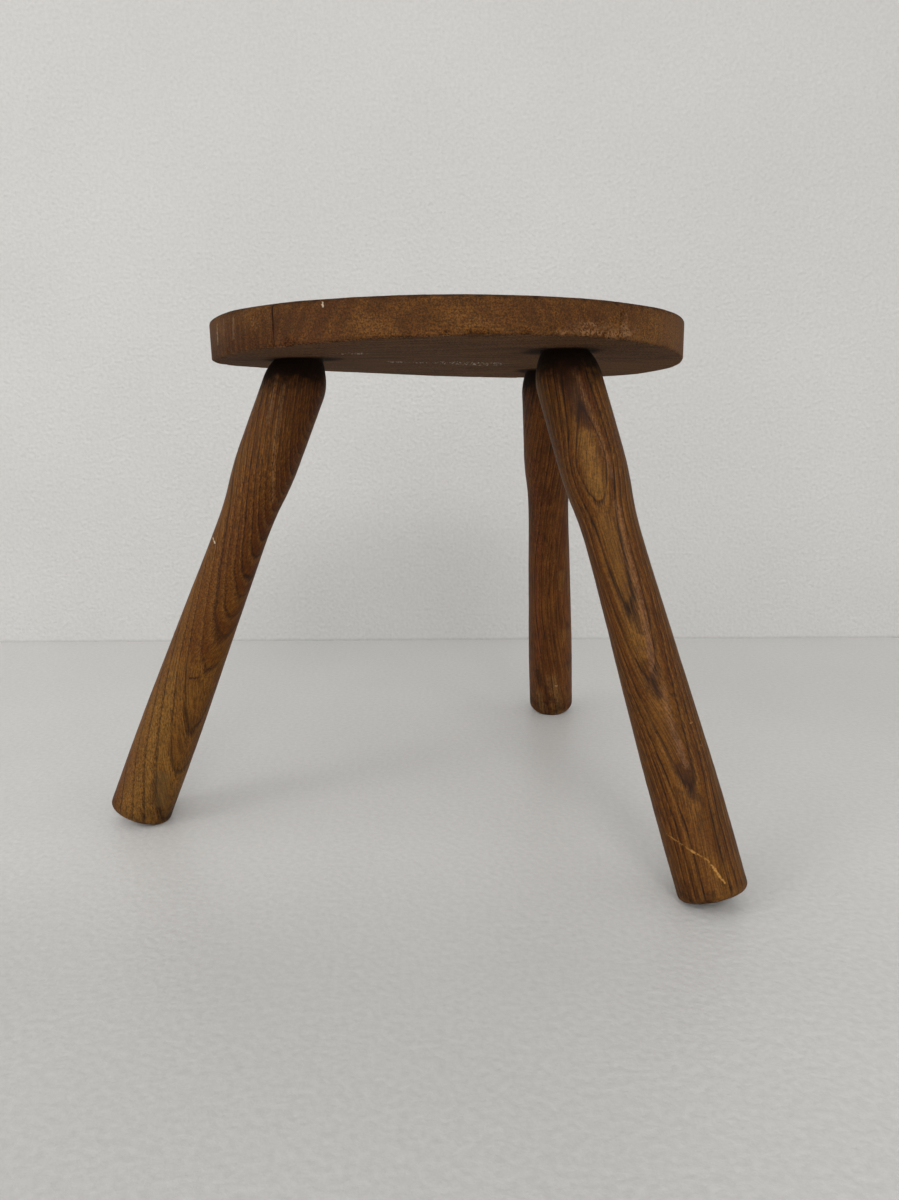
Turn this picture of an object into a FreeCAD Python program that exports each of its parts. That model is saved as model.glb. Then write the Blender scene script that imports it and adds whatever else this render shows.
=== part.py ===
import FreeCAD, Part
import Sketcher
import math
import os
import re
from FreeCAD import Vector

# Milking stool: a round seat glued up from two boards, on three turned legs.
# Each leg leans outwards and goes through the seat as a round tenon, which a wedge spreads.
# Lengths are in millimetres and angles in degrees. +Z is up and the floor is z = 0.
# The seat's boards have their grain along X, and the narrow board is at the front, towards -Y.

LEGS = ("left", "front", "back")

# Every size that can be set by itself: its name, its value and what it measures.
DRIVING_SIZES = (
    ("seat_radius", 160.0, "round seat, from its centre to its rim"),
    ("seat_thickness", 25.0, "both seat boards"),
    ("front_board_width", 33.0, "from the glue joint of the seat's boards forwards to the rim"),
    ("seat_top_arris", 3.0, "rounding of the rim's upper edge"),
    ("seat_bottom_arris", 2.0, "rounding of the rim's lower edge"),
    ("glue_line", 0.1, "room for glue in every joint"),
    ("splay_angle", 22.0, "lean of each leg from upright"),
    ("leg_length", 336.0, "along the leg from the seat's underside to the foot's end"),
    ("tenon_radius", 12.5, "round tenon at the top of each leg"),
    ("shoulder_rounding", 39.5, "radius of the domed shoulder, seen from the side"),
    ("shoulder_length", 19.5, "along the leg from the seat's underside to its full thickness"),
    ("thigh_radius", 20.4, "thick upper part of each leg"),
    ("thigh_length", 47.5, "along the leg, where the thigh keeps its thickness"),
    ("draw_in_length", 52.0, "along the leg, from the thigh down to the waist"),
    ("waist_radius", 17.2, "thinnest part of each leg"),
    ("waist_easing", 20.0, "along the leg, from the waist to the straight taper"),
    ("foot_easing", 66.0, "along the leg, from the straight taper to the foot"),
    ("foot_length", 31.0, "along the leg, where the foot keeps its thickness"),
    ("foot_radius", 20.7, "thick lower end of each leg"),
    ("foot_arris", 4.0, "rounding of the foot's lower edge"),
    ("foot_wear", 1.0, "depth of the flat that the floor has worn on each foot"),
    ("wedge_thickness", 3.2, "thickness of a wedge in the middle of its tenon's end"),
    ("wedge_tip", 0.8, "thickness of a wedge at its lower end"),
    ("wedge_depth", 18.0, "along the tenon, how far a wedge is driven in"),
    ("trim_allowance", 2.0, "length that a tenon and its wedge stood proud before trimming"),
    ("mortise_inset_left", 59.9, "from the seat's rim inwards to the leg's axis at the underside"),
    ("mortise_angle_left", 196.0, "where that point lies, counted from +X towards +Y"),
    ("lean_angle_left", 189.7, "the way that the leg leans, counted the same way"),
    ("mortise_inset_front", 58.2, "from the seat's rim inwards to the leg's axis at the underside"),
    ("mortise_angle_front", -45.6, "where that point lies, counted from +X towards +Y"),
    ("lean_angle_front", -48.9, "the way that the leg leans, counted the same way"),
    ("mortise_inset_back", 51.6, "from the seat's rim inwards to the leg's axis at the underside"),
    ("mortise_angle_back", 44.2, "where that point lies, counted from +X towards +Y"),
    ("lean_angle_back", 79.8, "the way that the leg leans, counted the same way"),
)

# The seat's centre lies beside the origin, because the origin is under the middle of the box.
SEAT_PLACE = (
    ("seat_axis_x", 0.0, "the seat's centre"),
    ("seat_axis_y", 0.0, "the seat's centre"),
)

# Sizes that follow from the ones above, as formulas of the sheet.
# Heights along a leg count upwards from the point where its axis meets the seat's underside,
# and depths count downwards from it.
DERIVED_SIZES = (
    ("seat_joint_offset", "=seat_radius - front_board_width", "from the seat's centre to the joint"),
    ("mortise_radius_left", "=seat_radius - mortise_inset_left", "from the seat's centre to the axis"),
    ("mortise_radius_front", "=seat_radius - mortise_inset_front", "from the seat's centre to the axis"),
    ("mortise_radius_back", "=seat_radius - mortise_inset_back", "from the seat's centre to the axis"),
    ("back_board_chord", "=seat_joint_offset - glue_line / 2", "large board's glued edge"),
    ("front_board_chord", "=seat_joint_offset + glue_line / 2", "narrow board's glued edge"),
    ("mortise_bore", "=tenon_radius + glue_line", "radius of each mortise"),
    ("mortise_reach", "=2 * seat_thickness + 2 * tenon_radius", "the bit goes this far each way"),
    (
        "shoulder_top",
        "=sqrt(shoulder_rounding ^ 2 - (shoulder_rounding - thigh_radius + tenon_radius) ^ 2)"
        " - shoulder_length",
        "height at which the dome has narrowed to the tenon",
    ),
    ("thigh_end", "=shoulder_length + thigh_length", "depth of the thigh's lower end"),
    ("waist_depth", "=thigh_end + draw_in_length", "depth of the thinnest point"),
    ("draw_in_depth", "=thigh_end + draw_in_length / 2", "depth where the draw-in turns over"),
    ("draw_in_radius", "=(thigh_radius + waist_radius) / 2", "the leg's radius there"),
    ("taper_start", "=waist_depth + waist_easing", "depth where the straight taper starts"),
    ("foot_start", "=leg_length - foot_length", "depth where the foot starts"),
    ("taper_end", "=foot_start - foot_easing", "depth where the straight taper ends"),
    (
        "taper_slope",
        "=(foot_radius - waist_radius) / ((foot_start + taper_end - taper_start - waist_depth) / 2)",
        "how fast the straight taper widens",
    ),
    (
        "underside_height",
        "=(leg_length - foot_arris) * cos(splay_angle)"
        " + (foot_radius - foot_arris) * sin(splay_angle) + foot_arris - foot_wear",
        "height of the seat's underside above the floor",
    ),
    (
        "tenon_top",
        "=(seat_thickness + tenon_radius * sin(splay_angle)) / cos(splay_angle) + trim_allowance",
        "height of the tenon before it is trimmed flush",
    ),
    ("wedge_foot", "=seat_thickness / cos(splay_angle) - wedge_depth", "height of a wedge's tip"),
    (
        "wedge_head",
        "=wedge_tip / 2 + (wedge_thickness - wedge_tip) / 2 / wedge_depth * (tenon_top - wedge_foot)",
        "half the thickness of a wedge at the top of the untrimmed tenon",
    ),
    ("wedge_width", "=2 * sqrt(tenon_radius ^ 2 - wedge_head ^ 2)", "across the tenon"),
    ("kerf_head", "=wedge_head + glue_line", "half the width of the kerf at the tenon's top"),
    ("kerf_tip", "=wedge_tip / 2 + glue_line", "half the width of the kerf at its lower end"),
    ("kerf_foot", "=wedge_foot - glue_line", "height of the kerf's lower end"),
    ("trim_block", "=6 * thigh_radius", "side of the block that trimming takes off a leg's top"),
    ("floor_block", "=4 * leg_length", "side of the block that stands for the floor"),
)

NAMES = {name for name, _, _ in DRIVING_SIZES + SEAT_PLACE + DERIVED_SIZES}

# The ends and the centre of a sketch's edge, and the sketch's own origin.
START, END, CENTRE = 1, 2, 3
ORIGIN = -1

UPWARDS, DOWNWARDS = Vector(0, 1, 0), Vector(0, -1, 0)

doc = FreeCAD.newDocument("MilkingStool")
sheet = doc.addObject("Spreadsheet::Sheet", "Sizes")


def fill_sheet():
    """Write every size into the sheet: its name, its value and what it measures."""
    for row, (name, value, meaning) in enumerate(DRIVING_SIZES + SEAT_PLACE + DERIVED_SIZES, 1):
        sheet.set("A%d" % row, name)
        sheet.set("B%d" % row, str(value))
        sheet.setAlias("B%d" % row, name)
        sheet.set("C%d" % row, meaning)
    doc.recompute()


def in_sheet(formula):
    """A formula with each size's name led by the sheet's name."""
    def with_sheet(word):
        return "Sizes." + word[0] if word[0] in NAMES else word[0]

    return re.sub("[a-z_]+", with_sheet, formula)


def value(formula):
    """What a formula of sizes comes to."""
    return float(sheet.evalExpression(in_sheet(formula)))


def bind(thing, **properties):
    """Tie an object's properties to formulas of sizes."""
    for name, formula in properties.items():
        thing.setExpression(name, in_sheet(formula))


def new_body(name):
    body = doc.addObject("PartDesign::Body", name)
    body.Label = name
    return body


def new_sketch(body, name, role):
    """A sketch on one of the body's own origin planes."""
    sketch = body.newObject("Sketcher::SketchObject", name)
    plane = next(item for item in body.Origin.OriginFeatures if item.Role == role)
    sketch.AttachmentSupport = [(plane, "")]
    sketch.MapMode = "FlatFace"
    return sketch


def end_at(sketch, edge, point):
    """Which end of a sketch's edge is at a point."""
    gaps = {end: (sketch.getPoint(edge, end) - point).Length for end in (START, END)}
    return min(gaps, key=gaps.get)


def dimension(sketch, kind, formula, *where):
    """Add a dimension that a formula of sizes drives."""
    index = sketch.addConstraint(Sketcher.Constraint(kind, *where, value(formula)))
    sketch.setExpression("Constraints[%d]" % index, in_sheet(formula))


def arc_middle(first, last, heading):
    """The middle of the arc that leaves one point in a heading and ends at another point."""
    chord = last - first
    across = Vector(-chord.y, chord.x, 0)
    turn = math.atan2(across * heading, chord * heading)
    return (first + last) * 0.5 + across * (math.tan(turn / 2) / 2)


def draw_outline(sketch, corners):
    """Draw a closed outline whose corners are dimensioned, and return its edges.

    Each corner is (x, y, fixed, joint, edge). x and y are formulas, fixed names the ones that
    are dimensioned, and joint says how the corner's two edges meet. edge is None for a line to
    the next corner. For an arc it is the heading in which the arc leaves this corner, or, when
    the heading is upwards, in which it leaves the next corner on its way back to this one.
    """
    points = [Vector(value(x), value(y), 0) for x, y, _, _, _ in corners]
    edges = []
    for number, (_, _, _, _, heading) in enumerate(corners):
        first, last = points[number], points[(number + 1) % len(points)]
        if heading is None:
            shape = Part.LineSegment(first, last)
        elif heading == UPWARDS:
            shape = Part.Arc(first, arc_middle(last, first, heading), last)
        else:
            shape = Part.Arc(first, arc_middle(first, last, heading), last)
        edges.append(sketch.addGeometry(shape))
    for number, (x, y, fixed, joint, _) in enumerate(corners):
        before, after = edges[number - 1], edges[number]
        ends = end_at(sketch, before, points[number]), end_at(sketch, after, points[number])
        sketch.addConstraint(Sketcher.Constraint(joint, before, ends[0], after, ends[1]))
        if "x" in fixed:
            dimension(sketch, "DistanceX", x, ORIGIN, START, after, ends[1])
        if "y" in fixed:
            dimension(sketch, "DistanceY", y, ORIGIN, START, after, ends[1])
    return edges


def rim_edges(shape, height):
    """The names of a seat board's rim edges at a height."""
    names = []
    for number, edge in enumerate(shape.Edges, 1):
        if not isinstance(edge.Curve, Part.Circle):
            continue
        on_rim = math.isclose(edge.Curve.Radius, value("seat_radius"), abs_tol=0.01)
        if on_rim and math.isclose(edge.Curve.Center.z, height, abs_tol=0.01):
            names.append("Edge%d" % number)
    return names


def round_rim(body, name, height, arris):
    """Round a seat board's rim at a height."""
    base = body.Tip
    fillet = body.newObject("PartDesign::Fillet", name)
    fillet.Base = (base, rim_edges(base.Shape, value(height)))
    bind(fillet, Radius=arris)
    doc.recompute()


def seat_board(name, chord, side):
    """A board of the round seat: the rim's arc closed by the glued edge.

    side is 1 for the board behind the glue joint and -1 for the one in front of it.
    """
    body = new_body(name)
    place = "placement(vector(seat_axis_x; seat_axis_y; underside_height); rotation(0; 0; 0))"
    bind(body, Placement=place)
    outline = new_sketch(body, name + "_outline", "XY_Plane")
    half = math.sqrt(value("seat_radius") ** 2 - value(chord) ** 2)
    right, left = Vector(half, -value(chord), 0), Vector(-half, -value(chord), 0)
    rim = outline.addGeometry(Part.Arc(right, Vector(0, side * value("seat_radius"), 0), left))
    glued = outline.addGeometry(Part.LineSegment(left, right))
    for end, point in ((START, left), (END, right)):
        meeting = Sketcher.Constraint("Coincident", rim, end_at(outline, rim, point), glued, end)
        outline.addConstraint(meeting)
    outline.addConstraint(Sketcher.Constraint("Coincident", rim, CENTRE, ORIGIN, START))
    outline.addConstraint(Sketcher.Constraint("Horizontal", glued))
    dimension(outline, "Radius", "seat_radius", rim)
    dimension(outline, "DistanceY", "-" + chord, ORIGIN, START, glued, START)
    board = body.newObject("PartDesign::Pad", name + "_plank")
    board.Profile = outline
    bind(board, Length="seat_thickness")
    doc.recompute()
    round_rim(body, name + "_top_arris", "seat_thickness", "seat_top_arris")
    round_rim(body, name + "_bottom_arris", "0", "seat_bottom_arris")
    return body


def mortise_mouth(leg, x="0", y="0", z="0"):
    """The formula of the point where a leg's axis meets the underside, counted from x, y, z."""
    reach = "mortise_radius_" + leg
    angle = "mortise_angle_" + leg
    return f"vector({x} + {reach} * cos({angle}); {y} + {reach} * sin({angle}); {z})"


def leaning(leg):
    """The formula of a leg's lean."""
    return f"rotation(lean_angle_{leg}; -splay_angle; 0)"


def bore_mortise(body, leg):
    """Bore a leg's mortise through the seat, about the leg's own axis."""
    bore = body.newObject("PartDesign::SubtractiveCylinder", "mortise_" + leg)
    start = f"{mortise_mouth(leg)} + {leaning(leg)} * vector(0; 0; -mortise_reach)"
    place = f"placement({start}; {leaning(leg)})"
    bind(bore, Radius="mortise_bore", Height="2 * mortise_reach", Placement=place)


def stand(body, leg):
    """Put a piece that is drawn along its leg's axis in its place in the stool."""
    mouth = mortise_mouth(leg, "seat_axis_x", "seat_axis_y", "underside_height")
    bind(body, Placement=f"placement({mouth}; {leaning(leg)})")


def cut_level(body, name, side, low):
    """Cut off, level with the floor, what a leaning piece has above a height."""
    block = body.newObject("PartDesign::SubtractiveBox", name)
    level = "rotation(0; splay_angle; 0)"
    corner = f"vector(-{side} / 2; -{side} / 2; {low})"
    bind(block, Length=side, Width=side, Height=side)
    bind(block, Placement=f"placement({level} * {corner}; {level})")


def leg_outline(body, leg):
    """Half of the turned leg without its tenon, with the axis upright."""
    outline = new_sketch(body, "outline_" + leg, "XZ_Plane")
    eased_in = "waist_radius + taper_slope * waist_easing / 2"
    eased_out = "foot_radius - taper_slope * foot_easing / 2"
    corners = (
        ("0", "shoulder_top", "x", "Coincident", None),
        ("tenon_radius", "shoulder_top", "x", "Coincident", UPWARDS),
        ("thigh_radius", "-shoulder_length", "xy", "Tangent", None),
        ("thigh_radius", "-thigh_end", "y", "Tangent", DOWNWARDS),
        ("draw_in_radius", "-draw_in_depth", "xy", "Tangent", UPWARDS),
        ("waist_radius", "-waist_depth", "xy", "Tangent", DOWNWARDS),
        (eased_in, "-taper_start", "y", "Tangent", None),
        (eased_out, "-taper_end", "y", "Tangent", UPWARDS),
        ("foot_radius", "-foot_start", "xy", "Tangent", None),
        ("foot_radius", "foot_arris - leg_length", "y", "Tangent", DOWNWARDS),
        ("foot_radius - foot_arris", "-leg_length", "y", "Tangent", None),
        ("0", "-leg_length", "x", "Coincident", None),
    )
    top, shoulder, thigh, _, _, _, _, _, foot, _, sole, _ = draw_outline(outline, corners)
    for level in (top, sole):
        outline.addConstraint(Sketcher.Constraint("Horizontal", level))
    for upright in (thigh, foot):
        outline.addConstraint(Sketcher.Constraint("Vertical", upright))
    dimension(outline, "Radius", "shoulder_rounding", shoulder)
    return outline


def wedge_outline(body, name, leg, head, tip, foot):
    """The tapering shape of a wedge or its kerf, seen along the slot.

    The slot runs across the seat's grain, so that the wedge can't split the seat.
    """
    outline = new_sketch(body, name, "XZ_Plane")
    turned = f"placement(vector(0; 0; 0); rotation(0; -lean_angle_{leg}; 0))"
    bind(outline, AttachmentOffset=turned)
    corners = (
        ("-" + head, "tenon_top", "xy", "Coincident", None),
        (head, "tenon_top", "xy", "Coincident", None),
        (tip, foot, "xy", "Coincident", None),
        ("-" + tip, foot, "xy", "Coincident", None),
    )
    draw_outline(outline, corners)
    return outline


def turned_leg(leg):
    """A leg: turned, pared to meet the underside, slotted, trimmed flush and worn by the floor."""
    body = new_body("leg_" + leg)
    stand(body, leg)
    outline = leg_outline(body, leg)
    turned = body.newObject("PartDesign::Revolution", "turned_" + leg)
    turned.Profile = outline
    turned.ReferenceAxis = (outline, ["V_Axis"])
    turned.Angle = 360
    cut_level(body, "pared_" + leg, "trim_block", "-glue_line")
    tenon = body.newObject("PartDesign::AdditiveCylinder", "tenon_" + leg)
    root = "placement(vector(0; 0; -shoulder_length); rotation(0; 0; 0))"
    bind(tenon, Radius="tenon_radius", Height="tenon_top + shoulder_length", Placement=root)
    kerf = wedge_outline(body, "kerf_outline_" + leg, leg, "kerf_head", "kerf_tip", "kerf_foot")
    slot = body.newObject("PartDesign::Pocket", "kerf_" + leg)
    slot.Profile = kerf
    slot.SideType = "Symmetric"
    bind(slot, Length="4 * tenon_radius")
    cut_level(body, "trimmed_" + leg, "trim_block", "seat_thickness")
    cut_level(body, "worn_" + leg, "floor_block", "-underside_height - floor_block")
    return body


def wedge(leg):
    """The wedge that spreads a leg's tenon, trimmed flush with the seat."""
    body = new_body("wedge_" + leg)
    stand(body, leg)
    name = "wedge_outline_" + leg
    outline = wedge_outline(body, name, leg, "wedge_head", "wedge_tip / 2", "wedge_foot")
    blank = body.newObject("PartDesign::Pad", "wedge_blank_" + leg)
    blank.Profile = outline
    blank.SideType = "Symmetric"
    bind(blank, Length="wedge_width")
    cut_level(body, "wedge_trimmed_" + leg, "trim_block", "seat_thickness")
    return body


def centre_on_origin(pieces):
    """Move the seat's centre so that the middle of the stool's box is over the origin."""
    box = FreeCAD.BoundBox()
    for piece in pieces:
        box.add(piece.Shape.optimalBoundingBox(False, False))
    sheet.set(sheet.getCellFromAlias("seat_axis_x"), str(round(-box.Center.x, 3)))
    sheet.set(sheet.getCellFromAlias("seat_axis_y"), str(round(-box.Center.y, 3)))
    doc.recompute()


def refuse_faults(pieces):
    """Stop if anything in the document failed or a piece isn't one sound solid."""
    for item in doc.Objects:
        if {"Invalid", "Error"} & set(item.State):
            raise RuntimeError("%s failed: %s" % (item.Name, item.State))
    for piece in pieces:
        if piece.Shape.isNull() or not piece.Shape.isValid() or len(piece.Shape.Solids) != 1:
            raise RuntimeError("%s isn't one sound solid" % piece.Label)


def refuse_idle_features(body):
    """Stop if a feature of a body adds or takes away nothing."""
    shaping = [item for item in body.Group if hasattr(item, "AddSubShape")]
    for before, after in zip(shaping, shaping[1:]):
        growth = after.Shape.Volume - before.Shape.Volume
        adding = after.TypeId == "PartDesign::AdditiveCylinder"
        if growth == 0 or adding != (growth > 0):
            raise RuntimeError("%s shapes nothing" % after.Name)


fill_sheet()
seat = seat_board("seat_board", "back_board_chord", 1)
for leg in LEGS:
    bore_mortise(seat, leg)
stool = [seat, seat_board("seat_front_board", "front_board_chord", -1)]
stool += [turned_leg(leg) for leg in LEGS]
stool += [wedge(leg) for leg in LEGS]
doc.recompute()
centre_on_origin(stool)
refuse_faults(stool)
for piece in stool:
    refuse_idle_features(piece)

os.makedirs("parts", exist_ok=True)
for piece in stool:
    piece.Shape.exportStep("parts/%s.step" % piece.Label)
    box = piece.Shape.optimalBoundingBox(False, False)
    low = "%.1f, %.1f, %.1f" % (box.XMin, box.YMin, box.ZMin)
    high = "%.1f, %.1f, %.1f" % (box.XMax, box.YMax, box.ZMax)
    print(f"{piece.Label}: {piece.Shape.Volume:.0f} cubic mm, from {low} to {high}")
print("the seat's centre is at", sheet.seat_axis_x, sheet.seat_axis_y)
print("the seat's top is at", value("underside_height + seat_thickness"))
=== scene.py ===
"""Dress the milking stool: a round seat of two boards on three turned legs, old and handled.

Shapes, marks and the values of the timber are in millimetres. The stage is in metres, as Blender is.
"""

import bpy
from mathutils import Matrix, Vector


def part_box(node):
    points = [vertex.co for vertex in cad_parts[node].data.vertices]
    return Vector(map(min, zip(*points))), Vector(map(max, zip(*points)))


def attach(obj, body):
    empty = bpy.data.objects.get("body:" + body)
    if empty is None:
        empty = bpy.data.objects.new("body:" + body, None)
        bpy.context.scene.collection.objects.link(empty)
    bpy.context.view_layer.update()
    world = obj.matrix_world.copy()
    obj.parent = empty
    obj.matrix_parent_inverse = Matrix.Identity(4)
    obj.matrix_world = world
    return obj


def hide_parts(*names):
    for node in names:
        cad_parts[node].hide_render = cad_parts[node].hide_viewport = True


bl_info = {
    "name": "Milking Stool",
    "version": (1, 0, 0),
    "blender": (4, 5, 0),
    "location": "3D View > Sidebar > Stool",
    "description": "Dress the milking stool's seat, legs and wedges, and set its stage",
    "category": "Object",
}

import math
from contextlib import contextmanager

import bmesh
import bpy
import numpy as np
from mathutils import Matrix, Vector

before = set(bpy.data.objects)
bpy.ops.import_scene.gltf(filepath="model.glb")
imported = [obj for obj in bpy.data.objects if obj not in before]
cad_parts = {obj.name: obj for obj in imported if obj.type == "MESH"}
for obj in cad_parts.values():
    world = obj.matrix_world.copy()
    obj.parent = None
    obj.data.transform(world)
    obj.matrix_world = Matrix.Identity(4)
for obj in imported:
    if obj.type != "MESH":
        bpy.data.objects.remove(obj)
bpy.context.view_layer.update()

MM = 0.001

# The seat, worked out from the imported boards.
BOARD_LOW, BOARD_HIGH = (np.array(corner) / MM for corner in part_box("seat_board"))
FRONT_HIGH = np.array(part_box("seat_front_board")[1]) / MM
SEAT_RADIUS = (BOARD_HIGH[0] - BOARD_LOW[0]) / 2
SEAT_CENTRE = np.array(((BOARD_HIGH[0] + BOARD_LOW[0]) / 2, BOARD_HIGH[1] - SEAT_RADIUS))
UNDERSIDE = BOARD_LOW[2]
SEAT_THICKNESS = BOARD_HIGH[2] - BOARD_LOW[2]
JOINT_Y = (BOARD_LOW[1] + FRONT_HIGH[1]) / 2
GLUE_LINE = 0.1

# The seat's wear.
TOP_ARRIS = 3.0
LOW_ARRIS = 2.0
TOP_DISH = 0.7
LEFT_SLOPE = 0.5
CHIP_DEPTH = 0.7
GROOVE_DEPTH = 0.25
GROOVE_WIDTH = 0.7
# How far in from a flat side the seat's outward direction turns.
ARRIS_REACH = 3.2
# The rim's unevenness, as (height, distance apart, seed).
SEAT_SWELLS = ((0.22, 42, 2), (0.10, 13, 5), (0.05, 4, 7))

# The legs. A leg's own frame has its origin where the axis meets the seat's underside, its z
# along the leg and its x on the leg's outer side.
SPLAY = math.radians(22.0)
LEG_LENGTH = 336.0
TENON_RADIUS = 12.5
MORTISE_RADIUS = TENON_RADIUS + GLUE_LINE
FOOT_ARRIS = 4.0
SHOULDER_ROUNDING = 39.5
SHOULDER_LENGTH = 19.5
SHOULDER_TOP = 4.2
THIGH_RADIUS = 20.4
THIGH_END = 67.0
WAIST_DEPTH = 119.0
WAIST_RADIUS = 17.2
WAIST_EASING = 20.0
FOOT_RADIUS = 20.7
FOOT_START = 305.0
FOOT_EASING = 66.0
# Each leg's mortise, as its distance from the seat's centre and its angle, and the leg's lean.
LEG_PLACES = {
    "left": (100.1, 196.0, 189.7),
    "front": (101.8, -45.6, -48.9),
    "back": (108.4, 44.2, 79.8),
}
# How much thicker than drawn each leg was turned, along its shank and at its thigh.
LEG_GIRTHS = {"left": 0.4, "front": 0.0, "back": -0.4}
THIGH_GIRTHS = {"left": 0.5, "front": 0.1, "back": -0.9}
# Where the pith of the trunk lay beside each leg: depth along the leg, distance from the
# leg's axis and direction in the leg's own frame.
PITHS = {
    "front": (
        (0, 64.8, -38), (22, 64.1, -40), (48, 62.5, -44), (75, 60.2, -53), (100, 60.9, -58),
        (162, 63.3, -57), (206, 67.9, -53), (235, 70.9, -46), (262, 72.9, -42), (284, 74.9, -43),
        (336, 75.3, -46),
    ),
    "left": (
        (0, 45.0, 148), (70, 59.5, 151), (140, 79.0, 143), (210, 100.0, 122), (280, 112.0, 134),
        (336, 124.0, 148),
    ),
    "back": ((0, 80.0, -100), (100, 65.0, -105), (190, 60.0, -115), (336, 70.0, -110)),
}

WEDGE_TIP = 0.8
WEDGE_THICKNESS = 3.2
WEDGE_DEPTH = 18.0
WEDGE_CLEARANCE = 0.05

# How far the solids that cut the mortises and the kerfs reach past the underside and the top.
ROD_ENDS = (-40, 60)
KERF_OVER = 6.0

# How finely the meshes are divided.
SLAB_CELLS = 168
LEG_SIDES = 176
SHANK_ROWS = 320
ROD_SIDES = 128


# Shapes

def ease(low, high, x):
    """Rise smoothly from 0 at low to 1 at high."""
    t = np.clip((x - low) / (high - low), 0, 1)
    return t * t * (3 - 2 * t)


def swell(points, size, seed):
    """Smooth unevenness from -1 to 1, whose swells are about size apart."""
    cell = np.asarray(points, float) / size + 17.31 * seed
    corner = np.floor(cell)
    part = cell - corner
    part = part * part * (3 - 2 * part)
    total = np.zeros(len(cell))
    for step in np.ndindex(2, 2, 2):
        mixed = np.sin((corner + step) @ (127.1, 311.7, 74.7)) * 43758.5453
        share = np.prod(np.where(step, part, 1 - part), axis=1)
        total += share * (mixed - np.floor(mixed))
    return 2 * total - 1


def through(points, x):
    """A smooth curve through (x, value) points whose x rises."""
    xs, ys = np.array(points, float).T
    slope = np.gradient(ys, xs)
    x = np.clip(x, xs[0], xs[-1])
    i = np.clip(np.searchsorted(xs, x, side="right") - 1, 0, len(xs) - 2)
    h = xs[i + 1] - xs[i]
    t = (x - xs[i]) / h
    return ((2 * t**3 - 3 * t**2 + 1) * ys[i] + (t**3 - 2 * t**2 + t) * h * slope[i]
            + (3 * t**2 - 2 * t**3) * ys[i + 1] + (t**3 - t**2) * h * slope[i + 1])


def underside_swell(x, y):
    """How far the worn and twisted underside lies above its nominal plane."""
    u = (x - SEAT_CENTRE[0]) / SEAT_RADIUS
    v = (y - SEAT_CENTRE[1]) / SEAT_RADIUS
    return 1.7 - 1.2 * u - 1.9 * v - 5.0 * u * v - 2.2 * u * u - 0.7 * np.maximum(u, 0) ** 6


def leg_radius(depth):
    """The turned leg's radius at a depth below the underside."""
    depth = np.asarray(depth, float)
    below = np.clip(SHOULDER_LENGTH - depth, 0, None)
    turnover = (THIGH_END + WAIST_DEPTH) / 2
    middle = (THIGH_RADIUS + WAIST_RADIUS) / 2
    draw = turnover - THIGH_END
    taper_start = WAIST_DEPTH + WAIST_EASING
    taper_end = FOOT_START - FOOT_EASING
    slope = (FOOT_RADIUS - WAIST_RADIUS) / ((FOOT_START + taper_end - taper_start - WAIST_DEPTH) / 2)
    parts = (
        (SHOULDER_LENGTH,
         THIGH_RADIUS - SHOULDER_ROUNDING + np.sqrt(np.maximum(SHOULDER_ROUNDING**2 - below**2, 0))),
        (THIGH_END, THIGH_RADIUS),
        (turnover, THIGH_RADIUS - (THIGH_RADIUS - middle) * ((depth - THIGH_END) / draw) ** 2),
        (WAIST_DEPTH, WAIST_RADIUS + (middle - WAIST_RADIUS) * ((WAIST_DEPTH - depth) / draw) ** 2),
        (taper_start, WAIST_RADIUS + slope / 2 / WAIST_EASING * (depth - WAIST_DEPTH) ** 2),
        (taper_end, WAIST_RADIUS + slope * (WAIST_EASING / 2 + depth - taper_start)),
        (FOOT_START, FOOT_RADIUS - slope / 2 / FOOT_EASING * (FOOT_START - depth) ** 2),
    )
    return np.select([depth < end for end, _ in parts], [radius for _, radius in parts], FOOT_RADIUS)


def leg_place(leg):
    """A leg's own frame in the stool: its origin, and its axes as columns."""
    reach, angle, lean = LEG_PLACES[leg]
    angle, lean = math.radians(angle), math.radians(lean)
    turn = Matrix.Rotation(lean, 3, "Z") @ Matrix.Rotation(-SPLAY, 3, "Y")
    origin = (*(SEAT_CENTRE + reach * np.array((math.cos(angle), math.sin(angle)))), UNDERSIDE)
    return np.array(origin), np.array(turn)


def in_stool(leg, local):
    """Points of a leg's own frame, in the stool's frame."""
    origin, axes = leg_place(leg)
    return origin + np.asarray(local) @ axes.T


def in_leg(leg, points):
    """Points of the stool's frame, in a leg's own frame."""
    origin, axes = leg_place(leg)
    return (np.asarray(points) - origin) @ axes


def skin(loops):
    """The four-sided faces between each loop of point numbers and the next."""
    faces = []
    for first, second in zip(loops, loops[1:]):
        faces += np.stack([first, np.roll(first, -1), np.roll(second, -1), second], axis=1).tolist()
    return faces


def new_object(name, data):
    """A new object in the scene."""
    made = bpy.data.objects.new(name, data)
    bpy.context.scene.collection.objects.link(made)
    return made


def solid_object(name, points, faces):
    """A new object with a mesh, from points in millimetres."""
    mesh = bpy.data.meshes.new(name)
    mesh.from_pydata((np.asarray(points) * MM).tolist(), [], faces)
    return new_object(name, mesh)


def sheet_object(name, *corners):
    """A new flat object with four corners, in metres."""
    return solid_object(name, np.array(corners) / MM, [(0, 1, 2, 3)])


def tube_object(name, leg, local, around):
    """A closed tube in a leg's own frame, from loops of points that each go once round."""
    loops = np.arange(len(local)).reshape(-1, around)
    faces = skin(loops) + [loops[0][::-1].tolist(), loops[-1].tolist()]
    return solid_object(name, in_stool(leg, local), faces)


@contextmanager
def edited(mesh):
    """A mesh's points, edges and faces to work on, put back afterwards."""
    work = bmesh.new()
    work.from_mesh(mesh)
    yield work
    work.to_mesh(mesh)
    work.free()


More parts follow.
